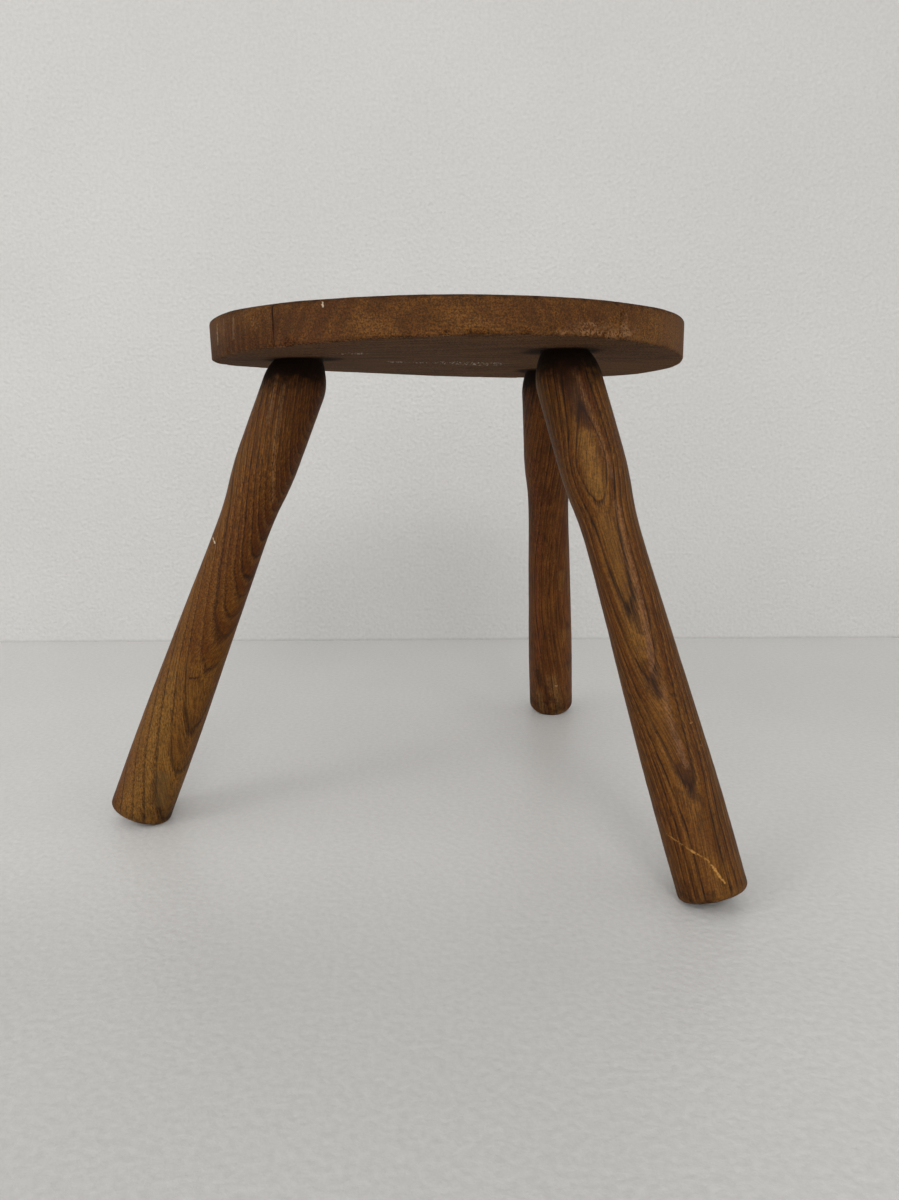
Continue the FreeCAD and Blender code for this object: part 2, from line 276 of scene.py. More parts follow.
def points_of(piece):
    """The piece's points, in millimetres."""
    flat = np.zeros(len(piece.data.vertices) * 3)
    piece.data.vertices.foreach_get("co", flat)
    return flat.reshape(-1, 3) / MM


def cut_away(piece, cutters):
    """Take cutters away from a piece, and remove them."""
    for cutter in cutters:
        cut = piece.modifiers.new("cut", "BOOLEAN")
        cut.operation = "DIFFERENCE"
        cut.solver = "EXACT"
        cut.object = cutter
    bpy.context.view_layer.update()
    graph = bpy.context.evaluated_depsgraph_get()
    made = bpy.data.meshes.new_from_object(piece.evaluated_get(graph))
    piece.modifiers.clear()
    before, piece.data = piece.data, made
    bpy.data.meshes.remove(before)
    piece.data.name = piece.name
    for cutter in cutters:
        bpy.data.meshes.remove(cutter.data)
    if len(made.polygons) == 0:
        raise RuntimeError(piece.name + " was cut away whole")


def keep(piece, **readings):
    """Store a number or a vector for each point of the piece, for its material to read."""
    for name, values in readings.items():
        values = np.asarray(values, np.float32)
        kind, field = ("FLOAT", "value") if values.ndim == 1 else ("FLOAT_VECTOR", "vector")
        layer = piece.data.attributes.new(name, kind, "POINT")
        layer.data.foreach_set(field, values.ravel())


def finish_piece(piece, node, material, crease=40):
    """Shade a piece, give it its material and let it stand for its CAD node."""
    piece.data.shade_smooth()
    piece.data.set_sharp_from_angle(angle=math.radians(crease))
    piece.data.materials.clear()
    piece.data.materials.append(material)
    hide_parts(node)
    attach(piece, "root")


# The seat

def rounding(turn, size, change, seed):
    """The radius of a worn arris all round the rim."""
    ring = 60 * np.stack([np.cos(turn), np.sin(turn), np.full(len(turn), seed)], axis=1)
    return size + change * (swell(ring, 14, seed) + 0.5 * swell(ring, 5, seed + 1))


def drawn_in(disc, rim_turn, arris):
    """The round seat's flat points, drawn in at each angle by the size of the arris there."""
    order = np.argsort(rim_turn)
    turn = np.arctan2(disc[:, 1], disc[:, 0])
    inset = np.interp(turn, rim_turn[order], arris[order], period=2 * math.pi)
    return disc * (1 - inset / SEAT_RADIUS)[:, None] * SEAT_RADIUS


def round_slab(name):
    """The whole round seat as one closed mesh, before it is sawn at its glue joint."""
    line = np.linspace(-1, 1, SLAB_CELLS + 1)
    u, v = np.meshgrid(line, line, indexing="ij")
    wide = np.abs(u) > np.abs(v)
    safe_u, safe_v = np.where(u == 0, 1, u), np.where(v == 0, 1, v)
    reach = np.where(wide, u, v)
    turn = np.where(wide, math.pi / 4 * v / safe_u, math.pi / 2 - math.pi / 4 * u / safe_v)
    disc = np.stack([reach * np.cos(turn), reach * np.sin(turn)], axis=-1).reshape(-1, 2)
    number = np.arange(len(disc)).reshape(u.shape)
    edge = np.concatenate([
        number[-1, :-1], number[::-1, -1][:-1], number[0, ::-1][:-1], number[:, 0][:-1],
    ])
    rim_turn = np.arctan2(disc[edge, 1], disc[edge, 0])
    top_arris = rounding(rim_turn, TOP_ARRIS, 0.5, 3)
    low_arris = rounding(rim_turn, LOW_ARRIS - 0.7 * np.abs(np.cos(rim_turn)) ** 4, 0.4, 9)
    # Rows of the rim from the top's edge down to the underside's edge, as (inset, height).
    rows = []
    for bend in np.linspace(0, 1, 6)[1:] * math.pi / 2:
        rows.append((top_arris * (1 - math.sin(bend)), SEAT_THICKNESS - top_arris * (1 - math.cos(bend))))
    level = SEAT_THICKNESS - top_arris
    for share in np.linspace(0, 1, 19)[1:]:
        rows.append((0, level + (low_arris - level) * share))
    for bend in np.linspace(0, 1, 6)[1:-1] * math.pi / 2:
        rows.append((low_arris * (1 - math.cos(bend)), low_arris * (1 - math.sin(bend))))
    points = [np.c_[drawn_in(disc, rim_turn, top_arris), np.full(len(disc), SEAT_THICKNESS)]]
    for inset, height in rows:
        radius = SEAT_RADIUS - inset
        points.append(np.c_[radius * np.cos(rim_turn), radius * np.sin(rim_turn), height])
    points.append(np.c_[drawn_in(disc, rim_turn, low_arris), np.zeros(len(disc))])
    low_disc = len(disc) + len(rows) * len(edge)
    cells = np.stack([number[:-1, :-1], number[1:, :-1], number[1:, 1:], number[:-1, 1:]], axis=-1)
    cells = cells.reshape(-1, 4)
    faces = np.stack([cells, low_disc + cells[:, ::-1]], axis=1).reshape(-1, 4).tolist()
    loops = [edge, *np.arange(len(disc), low_disc).reshape(len(rows), -1), low_disc + edge]
    # The rows go downwards, so the rim's faces are turned over to face outwards.
    faces += [(a, d, c, b) for a, b, c, d in skin(loops)]
    slab = solid_object(name, np.concatenate(points) + (*SEAT_CENTRE, UNDERSIDE), faces)
    with edited(slab.data) as work:
        bmesh.ops.recalc_face_normals(work, faces=work.faces)
    return slab


def outwards_of_slab(points):
    """The slab's outward direction at each of its points."""
    x, y = points[:, 0] - SEAT_CENTRE[0], points[:, 1] - SEAT_CENTRE[1]
    z = points[:, 2] - UNDERSIDE
    radius = np.maximum(np.hypot(x, y), 1e-6)
    out = ease(SEAT_RADIUS - ARRIS_REACH, SEAT_RADIUS, radius)
    up = ease(SEAT_THICKNESS - ARRIS_REACH, SEAT_THICKNESS, z) - ease(ARRIS_REACH, 0, z)
    direction = np.c_[x / radius * out, y / radius * out, up]
    length = np.linalg.norm(direction, axis=1)
    return direction / np.maximum(length, 1)[:, None]


def wear_seat(points):
    """Twist the underside, dish the top, and make the rim and its arrises uneven."""
    normals = outwards_of_slab(points)
    x, y = points[:, 0] - SEAT_CENTRE[0], points[:, 1] - SEAT_CENTRE[1]
    height = (points[:, 2] - UNDERSIDE) / SEAT_THICKNESS
    lower = 1 - np.clip(height, 0, 1)
    radius = np.hypot(x, y)
    worn = points.copy()
    worn[:, 2] += underside_swell(points[:, 0], points[:, 1]) * lower
    # The left end of the rim slopes in towards its lower edge.
    slope = LEFT_SLOPE * ease(-60, -130, x) * lower * ease(100, 158, radius)
    worn[:, 0] -= x / np.maximum(radius, 1) * slope
    worn[:, 1] -= y / np.maximum(radius, 1) * slope
    worn += normals * sum(rise * swell(points, size, seed) for rise, size, seed in SEAT_SWELLS)[:, None]
    worn[:, 2] -= TOP_DISH * ease(150, 20, radius) * ease(0.6, 1, height)
    # Small chips along the lower arris.
    chips = ease(6, 1, points[:, 2] - UNDERSIDE) * ease(150, 158, radius)
    chips = chips * ease(0.25, 0.75, swell(points * (1, 1, 0.3), 7, 11)) * ease(110, 70, x)
    worn -= normals * (CHIP_DEPTH * chips)[:, None]
    # The joint's edges are worn to a shallow groove.
    groove = ease(GROOVE_WIDTH, 0, np.abs(points[:, 1] - JOINT_Y))
    return worn - normals * (GROOVE_DEPTH * groove)[:, None]


def saw(work, y, facing=1, **settings):
    """Cut a mesh that is being worked on, along an upright plane from left to right."""
    bmesh.ops.bisect_plane(
        work, geom=work.verts[:] + work.edges[:] + work.faces[:],
        plane_co=(0, y * MM, 0), plane_no=(0, facing, 0), **settings,
    )


def sawn_board(slab, name, side):
    """The part of the slab on one side of the glue joint: 1 behind it, -1 in front of it."""
    mesh = slab.data.copy()
    mesh.name = name
    with edited(mesh) as work:
        saw(work, JOINT_Y + side * GLUE_LINE / 2, -side, clear_outer=True)
        bmesh.ops.contextual_create(work, geom=[edge for edge in work.edges if edge.is_boundary])
        bmesh.ops.recalc_face_normals(work, faces=work.faces)
    return new_object(name, mesh)


def board_attributes(piece, pith_y, pith_z, seed):
    """Store what a seat board's material reads."""
    points = points_of(piece)
    x, y = points[:, 0] - SEAT_CENTRE[0], points[:, 1] - SEAT_CENTRE[1]
    z = points[:, 2] - UNDERSIDE
    radius = np.hypot(x, y)
    off_top = SEAT_THICKNESS - z
    drift = 0.02 * x + 2.5 * swell(points * (1, 0.2, 0.2), 90, seed)
    corner = np.hypot(np.maximum(radius - SEAT_RADIUS + 4, 0), np.maximum(4 - off_top, 0))
    low_corner = np.hypot(np.maximum(radius - SEAT_RADIUS + 3, 0), np.maximum(3 - z, 0))
    rim_dirt = ease(5, 0, off_top) * ease(149, 159, radius)
    joint_dirt = ease(0.75, 0.2, np.abs(points[:, 1] - JOINT_Y)) * (0.25 + 0.75 * ease(40, -40, x))
    joint_dirt *= 0.8 + 0.35 * swell(points, 5, 13)
    # Round each leg the seat is darkened: painted shade on the underside where the leg meets it, more
    # faintly round the tenon on the top, and a dark dirt ring at the mortise's edge.
    soiled_and_shaded_mouths = np.zeros(len(points))
    for leg in LEG_PLACES:
        local = in_leg(leg, points)
        away = np.hypot(local[:, 0], local[:, 1])
        soiled_and_shaded_mouths = np.maximum(soiled_and_shaded_mouths, ease(31, 15, away) * (0.35 + 0.65 * ease(12, 0, z)))
        soiled_and_shaded_mouths = np.maximum(soiled_and_shaded_mouths, 0.85 * ease(MORTISE_RADIUS + 0.9, MORTISE_RADIUS + 0.1, away))
    keep(
        piece, timber=np.c_[y - pith_y + drift, z - pith_z, x], surface=np.c_[x, y, z],
        arris=ease(3.0, 4.6, corner) + ease(2.6, 3.8, low_corner),
        grime=np.clip(np.maximum.reduce([0.55 * rim_dirt, joint_dirt, soiled_and_shaded_mouths]), 0, 1),
        underneath=ease(1.2, 0.2, z - underside_swell(points[:, 0], points[:, 1])),
    )


# The legs

def turned_shape(leg):
    """A leg's points and faces: foot, turned shank, pared shoulder and tenon."""
    turn = np.linspace(0, 2 * math.pi, LEG_SIDES, endpoint=False)
    cos, sin, ones = np.cos(turn), np.sin(turn), np.ones(LEG_SIDES)

    def ring(radius, along):
        """A loop of points round the leg."""
        return np.c_[radius * cos, radius * sin, along * ones]

    def level_height(radius, height):
        """The place along the leg where each point at a radius has a height over the underside."""
        along = height / math.cos(SPLAY)
        for _ in range(6):
            place = in_stool(leg, ring(radius, along))
            lift = underside_swell(place[:, 0], place[:, 1]) if height < 1 else 0.0
            along = (height + lift - radius * cos * math.sin(SPLAY)) / math.cos(SPLAY)
        return along

    # The shoulder's edge on the dome, where paring has cut it to meet the underside.
    top, high = -SHOULDER_LENGTH * ones, SHOULDER_TOP * ones
    for _ in range(40):
        middle = (top + high) / 2
        place = in_stool(leg, ring(leg_radius(-middle), middle))
        over = place[:, 2] - UNDERSIDE - underside_swell(place[:, 0], place[:, 1]) + GLUE_LINE
        top, high = np.where(over < 0, middle, top), np.where(over < 0, high, middle)
    shoulder = leg_radius(-top)
    root = level_height(TENON_RADIUS, -GLUE_LINE)
    end = level_height(TENON_RADIUS, SEAT_THICKNESS)
    rows = [(share * (FOOT_RADIUS - FOOT_ARRIS), -LEG_LENGTH) for share in (0.25, 0.5, 0.75, 0.9)]
    for bend in np.linspace(0, 1, 9) * math.pi / 2:
        radius = FOOT_RADIUS - FOOT_ARRIS * (1 - math.sin(bend))
        rows.append((radius, -LEG_LENGTH + FOOT_ARRIS * (1 - math.cos(bend))))
    for share in np.linspace(0, 1, SHANK_ROWS + 1)[1:]:
        along = FOOT_ARRIS - LEG_LENGTH + (top + LEG_LENGTH - FOOT_ARRIS) * share
        rows.append((leg_radius(-along), along))
    for share in np.linspace(0, 1, 6)[1:]:
        rows.append((shoulder + (TENON_RADIUS - shoulder) * share, top + (root - top) * share))
    for share in np.linspace(0, 1, 15)[1:]:
        rows.append((TENON_RADIUS, root + (end - root) * share))
    for share in (0.97, 0.85, 0.65, 0.42, 0.2):
        rows.append((TENON_RADIUS * share, level_height(TENON_RADIUS * share, SEAT_THICKNESS)))
    foot = len(rows) * LEG_SIDES
    faces = skin(np.arange(foot).reshape(-1, LEG_SIDES))
    for i in range(LEG_SIDES):
        j = (i + 1) % LEG_SIDES
        faces += [(foot, j, i), (foot + 1, foot - LEG_SIDES + i, foot - LEG_SIDES + j)]
    middles = ((0, 0, -LEG_LENGTH), (0, 0, SEAT_THICKNESS / math.cos(SPLAY)))
    return np.concatenate([ring(*row) for row in rows] + [middles]), faces


def wear_leg(leg, local, seed):
    """Make a turned leg as uneven as hand work and use leave it."""
    x, y, along = local.T
    radius = np.maximum(np.hypot(x, y), 1e-6)
    outwards = np.c_[x / radius, y / radius, 0 * x]
    shank = ease(0, -14, along) * ease(12, 16, radius)
    girth = LEG_GIRTHS[leg] + (THIGH_GIRTHS[leg] - LEG_GIRTHS[leg]) * ease(-115, -60, along)
    oval = girth + 0.12 * np.cos(2 * np.arctan2(y, x) + seed)
    uneven = 0.20 * swell(local * (1, 1, 0.5), 30, seed) + 0.07 * swell(local * (1, 1, 0.6), 9, seed + 3)
    tool = 0.05 * swell(local * (0, 0, 1), 5, seed + 5)
    return local + outwards * ((oval + uneven + tool) * shank)[:, None]


def leg_attributes(piece, leg):
    """Store what a leg's material reads."""
    points = points_of(piece)
    local = in_leg(leg, points)
    depth = -local[:, 2]
    radius = np.hypot(local[:, 0], local[:, 1])
    distance = through([(d, reach) for d, reach, _ in PITHS[leg]], depth)
    direction = np.radians(through([(d, way) for d, _, way in PITHS[leg]], depth))
    pith = np.c_[distance * np.cos(direction), distance * np.sin(direction), 0 * depth]
    below = UNDERSIDE + underside_swell(points[:, 0], points[:, 1]) - points[:, 2]
    # Painted shade: the top of the leg is darkened just under the seat, where the seat shades it.
    seat_shade = np.clip((27 - below) / 21, 0, 1) ** 1.15 * ease(-1, 0, below)
    near_floor = ease(34, 4, points[:, 2])
    tenon_end = ease(0.9, 1.0, radius / TENON_RADIUS) * ease(-22, -24, below)
    keep(
        piece, timber=local - pith, surface=local,
        arris=ease(8, 1, LEG_LENGTH - depth) * ease(14, 18, radius),
        grime=np.clip(seat_shade + 0.45 * near_floor + 0.6 * tenon_end, 0, 1),
        underneath=np.zeros(len(points)),
    )


def mortise_rod(leg):
    """A closed rod along a leg's axis, to bore the seat with."""
    turn = np.linspace(0, 2 * math.pi, ROD_SIDES, endpoint=False)
    ring = MORTISE_RADIUS * np.stack([np.cos(turn), np.sin(turn)], axis=1)
    return tube_object("mortise_" + leg, leg, [(x, y, z) for z in ROD_ENDS for x, y in ring], ROD_SIDES)


# The wedges

def wedge_half(along):
    """Half of a wedge's thickness at a height along its tenon."""
    foot = SEAT_THICKNESS / math.cos(SPLAY) - WEDGE_DEPTH
    return WEDGE_TIP / 2 + (WEDGE_THICKNESS - WEDGE_TIP) / 2 / WEDGE_DEPTH * (along - foot)


def wedge_block(name, leg, spare, reach, over):
    """A tapering wedge, or with spare room the kerf that it sits in, as a closed mesh.

    spare is the room all round it, reach is half its width, and over is how far it stands
    above the seat's top.
    """
    lean = math.radians(LEG_PLACES[leg][2])
    thick = np.array((math.cos(-lean), math.sin(-lean), 0))
    wide = np.array((-math.sin(-lean), math.cos(-lean), 0))
    foot = SEAT_THICKNESS / math.cos(SPLAY) - WEDGE_DEPTH - spare

    def level(flat):
        """How far along the leg the wedge's top lies over a flat place. It is level with the seat."""
        return (SEAT_THICKNESS + over - flat[0] * math.sin(SPLAY)) / math.cos(SPLAY)

    across, through_it = np.linspace(-reach, reach, 23), np.linspace(-1, 1, 5)
    border = [(w, -1.0) for w in across[:-1]] + [(reach, t) for t in through_it[:-1]]
    border += [(w, 1.0) for w in across[::-1][:-1]] + [(-reach, t) for t in through_it[::-1][:-1]]
    points = []
    for share in np.linspace(0, 1, 17):
        for w, t in border:
            flat = wide * w
            top = level(flat + thick * t * (wedge_half(level(flat)) + spare))
            along = foot + (top - foot) * share
            points.append(flat + thick * t * (wedge_half(along) + spare) + (0, 0, along))
    piece = tube_object(name, leg, points, len(border))
    with edited(piece.data) as work:
        bmesh.ops.recalc_face_normals(work, faces=work.faces)
    return piece


# Colours and nodes

def srgb(red, green, blue):
    """A colour given as it looks on a screen, as Blender's linear colour."""
    linear = [c / 12.92 if c <= 0.04045 else ((c + 0.055) / 1.055) ** 2.4
              for c in (red / 255, green / 255, blue / 255)]
    return (*linear, 1.0)


def dimmed(colour, share):
    """A colour made darker."""
    return tuple(c * share for c in colour[:3]) + (1.0,)


class Reading:
    """What a node gives, to be reckoned with like a number."""

    def __init__(self, socket):
        self.socket = socket
        self.tree = socket.id_data

    def __add__(self, other):
        return maths("ADD", self, other)

    def __sub__(self, other):
        return maths("SUBTRACT", self, other)

    def __rsub__(self, other):
        return maths("SUBTRACT", other, self)

    def __mul__(self, other):
        return maths("MULTIPLY", self, other)

    def __truediv__(self, other):
        return maths("DIVIDE", self, other)


def tree_of(values):
    """The node tree that the readings among some values are in."""
    return next(value.tree for value in values if isinstance(value, Reading))


def new_node(tree, kind, takes=None, **settings):
    """A new node with its settings, whose inputs take values or readings."""
    node = tree.nodes.new(kind)
    node.location = (190 * (len(tree.nodes) % 14), -230 * (len(tree.nodes) // 14))
    for name, value in settings.items():
        setattr(node, name, value)
    for key, value in (takes or {}).items():
        if isinstance(value, Reading):
            tree.links.new(value.socket, node.inputs[key])
        else:
            node.inputs[key].default_value = value
    return node


def put(tree, kind, takes=None, result=0, **settings):
    """One result of a new node."""
    return Reading(new_node(tree, kind, takes, **settings).outputs[result])


def put_all(tree, kind, takes=None, **settings):
    """All results of a new node, by name."""
    return {socket.name: Reading(socket) for socket in new_node(tree, kind, takes, **settings).outputs}


def maths(operation, *values, clamp=False):
    """A Math node's result."""
    takes = dict(enumerate(values))
    return put(tree_of(values), "ShaderNodeMath", takes, operation=operation, use_clamp=clamp)


def vectors(operation, *values, result="Vector"):
    """A Vector Math node's result."""
    takes = dict(enumerate(values))
    return put(tree_of(values), "ShaderNodeVectorMath", takes, result, operation=operation)


def ramp(value, low, high, start=0.0, end=1.0):
    """A value brought smoothly from low..high to start..end."""
    takes = {"Value": value, "From Min": low, "From Max": high, "To Min": start, "To Max": end}
    return put(value.tree, "ShaderNodeMapRange", takes, interpolation_type="SMOOTHSTEP")


def about_one(value, change):
    """A value from 0 to 1, spread about 1 by a change either way."""
    return ramp(value, 0.0, 1.0, 1.0 - change, 1.0 + change)


def mix(share, first, second, way="MIX"):
    """Two colours mixed by a share."""
    takes = {0: share, 6: first, 7: second}
    return put(tree_of(takes.values()), "ShaderNodeMix", takes, 2, data_type="RGBA", blend_type=way)


def shaded(colour, shade):
    """A colour times a shade, which is 1 where the colour stays."""
    grey = put(shade.tree, "ShaderNodeCombineColor", {0: shade, 1: shade, 2: shade})
    return mix(1.0, colour, grey, "MULTIPLY")


def noise(place, detail=2.0, roughness=0.5, scale=1.0):
    """Soft noise from 0 to 1."""
    takes = {"Vector": place, "Scale": scale, "Detail": detail, "Roughness": roughness}
    return put(place.tree, "ShaderNodeTexNoise", takes)


def stretched(place, across, along=None):
    """A place divided by a size across the grain and by a length along it."""
    lengths = (across, across if along is None else along)
    across, along = (
        put(place.tree, "ShaderNodeMath", {0: 1.0, 1: length}, operation="DIVIDE") for length in lengths
    )
    sizes = put(place.tree, "ShaderNodeCombineXYZ", {0: across, 1: across, 2: along})
    return vectors("MULTIPLY", place, sizes)


def attribute(tree, name, result="Fac"):
    """What the mesh keeps for its material under a name."""
    return put(tree, "ShaderNodeAttribute", result=result, attribute_name=name)


# Effects that the materials share

def growth_rings(tree, takes):
    """Yearly rings round the pith: a dark line, the porous early wood outside it, and a tone."""
    seed = put(tree, "ShaderNodeCombineXYZ", {0: takes["Seed"], 1: takes["Seed"]})
    place = vectors("ADD", takes["Timber"], seed)
    slow = noise(stretched(place, 32.0, takes["Wander Length"]))
    fast = noise(stretched(place, 4.0, 30.0))
    slow = (slow - 0.5) * takes["Wander"] * 4.0
    fast = (fast - 0.5) * takes["Ripple"]
    parts = put_all(tree, "ShaderNodeSeparateXYZ", {0: takes["Timber"]})
    flat = put(tree, "ShaderNodeCombineXYZ", {0: parts["X"], 1: parts["Y"]})
    reach = vectors("LENGTH", flat, result="Value") + slow + fast - takes["Start"]
    # Rings get wider outwards by the widening, so their number grows with a logarithm.
    years = maths("LOGARITHM", reach * takes["Widening"] / takes["Ring Width"] + 1.0, math.e)
    years = years / takes["Widening"]
    uneven = put(tree, "ShaderNodeTexNoise", {"W": years, "Scale": 0.8}, noise_dimensions="1D")
    years = years + (uneven - 0.5) * 0.7
    phase = maths("FRACT", years)
    fall = ramp(phase, 0.0, takes["Line Share"], 1.0, 0.0)
    rise = ramp(phase, 0.9, 1.0)
    nearest = maths("FLOOR", years + 0.5)
    strength = put(tree, "ShaderNodeTexWhiteNoise", {"W": nearest}, noise_dimensions="1D")
    strength = 1.0 - strength * takes["Unevenness"]
    line = maths("MAXIMUM", fall, rise) * strength
    early = ramp(phase, 0.3, 0.62, 1.0, 0.0) * ramp(phase, 0.0, 0.08)
    year = maths("FLOOR", years) + 0.5
    return line, early, put(tree, "ShaderNodeTexWhiteNoise", {"W": year}, noise_dimensions="1D")


def fibres_and_pores(tree, takes):
    """Fine streaks along the grain, and the open pores as short dashes."""
    fibre = noise(stretched(takes["Timber"], takes["Fibre Size"], takes["Fibre Length"]), 3.0, 0.6)
    fibre = ramp(fibre, 0.3, 0.7)
    place = stretched(takes["Timber"], takes["Pore Size"], takes["Pore Length"])
    cells = put(tree, "ShaderNodeTexVoronoi", {"Vector": place, "Scale": 1.0})
    return fibre, ramp(cells, 0.16, 0.36, 1.0, 0.0)


def slow_patches(tree, takes):
    """Slow changes of colour over a board or a leg, and a fine mottle."""
    seed = put(tree, "ShaderNodeCombineXYZ", {0: takes["Seed"], 2: takes["Seed"]})
    place = vectors("ADD", takes["Surface"], seed)
    slow = ramp(noise(stretched(place, takes["Patch Size"]), 3.0, 0.55), 0.3, 0.7)
    return slow, ramp(noise(stretched(place, takes["Mottle Size"]), 3.0, 0.65), 0.28, 0.72)


def ragged_mask(tree, takes):
    """A mask from the mesh, such as soiling with painted shade, or a worn edge, with a ragged border."""
    rough = noise(stretched(takes["Surface"], takes["Grain Size"]), 4.0, 0.6)
    rough = (rough - 0.5) * takes["Raggedness"]
    shown = ramp(takes["Mask"] + rough * 2.0, 0.1, 0.9)
    return (shown * ramp(takes["Mask"], 0.0, 0.08),)


def mark(tree, takes):
    """A scratch, nick or stain: a straight line on the surface with a ragged border."""
    way = vectors("SUBTRACT", takes["To"], takes["From"])
    place = vectors("SUBTRACT", takes["Surface"], takes["From"])
    ahead = vectors("DOT_PRODUCT", place, way, result="Value")
    whole = vectors("DOT_PRODUCT", way, way, result="Value")
    share = maths("DIVIDE", ahead, maths("MAXIMUM", whole, 0.0001), clamp=True)
    nearest = put(tree, "ShaderNodeVectorMath", {0: way, "Scale": share}, operation="SCALE")
    away = vectors("DISTANCE", place, nearest, result="Value")
    rough = noise(stretched(takes["Surface"], takes["Grain Size"]), 3.0, 0.6)
    rough = (rough - 0.5) * takes["Raggedness"]
    away = away / takes["Width"] + rough * 2.0
    core = 1.0 - takes["Softness"]
    # Crumbs break the mark up, the more so the higher Broken is.
    crumbs = stretched(vectors("ADD", takes["Surface"], (7.3, 2.9, 5.1)), takes["Grain Size"])
    shorter = maths("DIVIDE", 1.0, takes["Crumb Length"])
    shorter = put(tree, "ShaderNodeCombineXYZ", {0: 1.0, 1: shorter, 2: 1.0})
    crumbs = noise(vectors("MULTIPLY", crumbs, shorter), 2.0, 0.6)
    level = takes["Broken"] * 0.3 + 0.26
    kept = ramp(crumbs, level, level + 0.06)
    return (ramp(away, core, 1.0, 1.0, 0.0) * kept,)


# What each effect takes, with its default or None for a place, and the names of its results.
EFFECTS = {
    "Growth Rings": (
        growth_rings,
        {
            "Timber": None, "Ring Width": 3.5, "Widening": 0.002, "Start": 0.0, "Wander": 1.2,
            "Wander Length": 120.0, "Ripple": 0.9, "Line Share": 0.22, "Unevenness": 0.0, "Seed": 0.0,
        },
        ("Line", "Early Wood", "Tone"),
    ),
    "Fibres and Pores": (
        fibres_and_pores,
        {"Timber": None, "Fibre Size": 0.9, "Fibre Length": 26.0, "Pore Size": 1.1, "Pore Length": 9.0},
        ("Fibre", "Pore"),
    ),
    "Patches": (
        slow_patches, {"Surface": None, "Patch Size": 45.0, "Mottle Size": 3.0, "Seed": 0.0},
        ("Patch", "Mottle"),
    ),
    "Ragged Mask": (
        ragged_mask, {"Mask": 0.0, "Surface": None, "Grain Size": 5.0, "Raggedness": 0.6}, ("Mask",),
    ),
    "Mark": (
        mark,
        {
            "Surface": None, "From": None, "To": None, "Width": 1.0, "Softness": 0.5,
            "Raggedness": 0.5, "Grain Size": 1.5, "Broken": 0.0, "Crumb Length": 1.0,
        },
        ("Mask",),
    ),
}


def effect_group(name):
    """The node group of a shared effect, made when it is first used."""
    if name in bpy.data.node_groups:
        return bpy.data.node_groups[name]
    effect, takes, gives = EFFECTS[name]
    tree = bpy.data.node_groups.new(name, "ShaderNodeTree")
    for label, value in takes.items():
        kind = "NodeSocketVector" if value is None else "NodeSocketFloat"
        socket = tree.interface.new_socket(label, in_out="INPUT", socket_type=kind)
        if value is not None:
            socket.default_value = value
    for label in gives:
        tree.interface.new_socket(label, in_out="OUTPUT", socket_type="NodeSocketFloat")
    given = put_all(tree, "NodeGroupInput")
    output = new_node(tree, "NodeGroupOutput")
    for label, result in zip(gives, effect(tree, given)):
        tree.links.new(result.socket, output.inputs[label])
    return tree


def use(tree, effect, takes):
    """Place a shared effect with its own values."""
    return put_all(tree, "ShaderNodeGroup", takes, node_tree=effect_group(effect))


# Marks

SOFT = {"Softness": 0.9, "Raggedness": 0.35, "Grain Size": 9.0}
STAIN = {"Softness": 0.7, "Raggedness": 0.8, "Grain Size": 3.0}
BAND = {"Softness": 0.8, "Raggedness": 0.9, "Grain Size": 2.6, "Broken": 0.25}
SPECKS = {"Softness": 0.7, "Raggedness": 0.8, "Grain Size": 1.3, "Broken": 0.97, "Crumb Length": 8.0}
SCUFF = {"Softness": 0.9, "Raggedness": 0.9, "Grain Size": 1.7, "Broken": 0.5}
RUBBED = {"Softness": 0.95, "Raggedness": 1.1, "Grain Size": 1.5, "Broken": 0.62, "Crumb Length": 2.0}
SCRATCH = {"Softness": 0.6, "Raggedness": 1.3, "Grain Size": 1.6, "Broken": 0.35}


def joined(width, ends):
    """Lines from each end to the next, as (from, to, width)."""
    return [(first, last, width) for first, last in zip(ends, ends[1:])]


def leg_line(width, *places):
    """Lines on a leg's surface that join places given as (angle, height), in the leg's own frame."""
    ends = []
    for turn, along in places:
        radius, turn = float(leg_radius(-along)), math.radians(turn)
        ends.append((radius * math.cos(turn), radius * math.sin(turn), along))
    return joined(width, ends)


def rim_line(width, *places):
    """Lines on the rim that join places given as (angle, height), in the seat's own frame."""
    turns = [(math.radians(turn), height) for turn, height in places]
    ends = [(SEAT_RADIUS * math.cos(turn), SEAT_RADIUS * math.sin(turn), height) for turn, height in turns]
    return joined(width, ends)


def low_line(width, *places):
    """Lines on the underside that join places given as (x, y) from the seat's centre."""
    ends = [(x, y, float(underside_swell(x + SEAT_CENTRE[0], y + SEAT_CENTRE[1]))) for x, y in places]
    return joined(width, ends)


# Tints are (colour, strength, lines, look) and lie under the rings. Scars are
# (colour, strength, depth, lines, look) and lie over them.

def right_rim_marks():
    """The rubbed patch and the tones at the right, which run across the glue joint."""
    pale = srgb(132, 96, 64)
    tints = (
        (srgb(54, 26, 7), 0.65, rim_line(13, (-79, 16), (-60, 14)), SOFT),
        (srgb(118, 80, 38), 0.3, rim_line(15, (-44, 12), (-28, 12)), SOFT),
    )
    rubbed = rim_line(2.0, (-68.0, 6.4), (-66.0, 5.8)) + rim_line(2.4, (-62.6, 7.2), (-57.8, 7.0))
    rubbed += rim_line(1.6, (-62.6, 11.2), (-59.2, 11.5)) + rim_line(2.0, (-57.0, 6.4), (-49.6, 7.6))
    rubbed += rim_line(2.2, (-51.6, 12.5), (-50.0, 8.6)) + rim_line(1.4, (-50.9, 18), (-50.6, 13))
    scars = (
        (pale, 0.25, 0.1, rim_line(6, (-65, 8), (-56, 9), (-48, 9)), RUBBED),
        (pale, 0.6, 0.2, rubbed, RUBBED),
    )
    return tints, scars


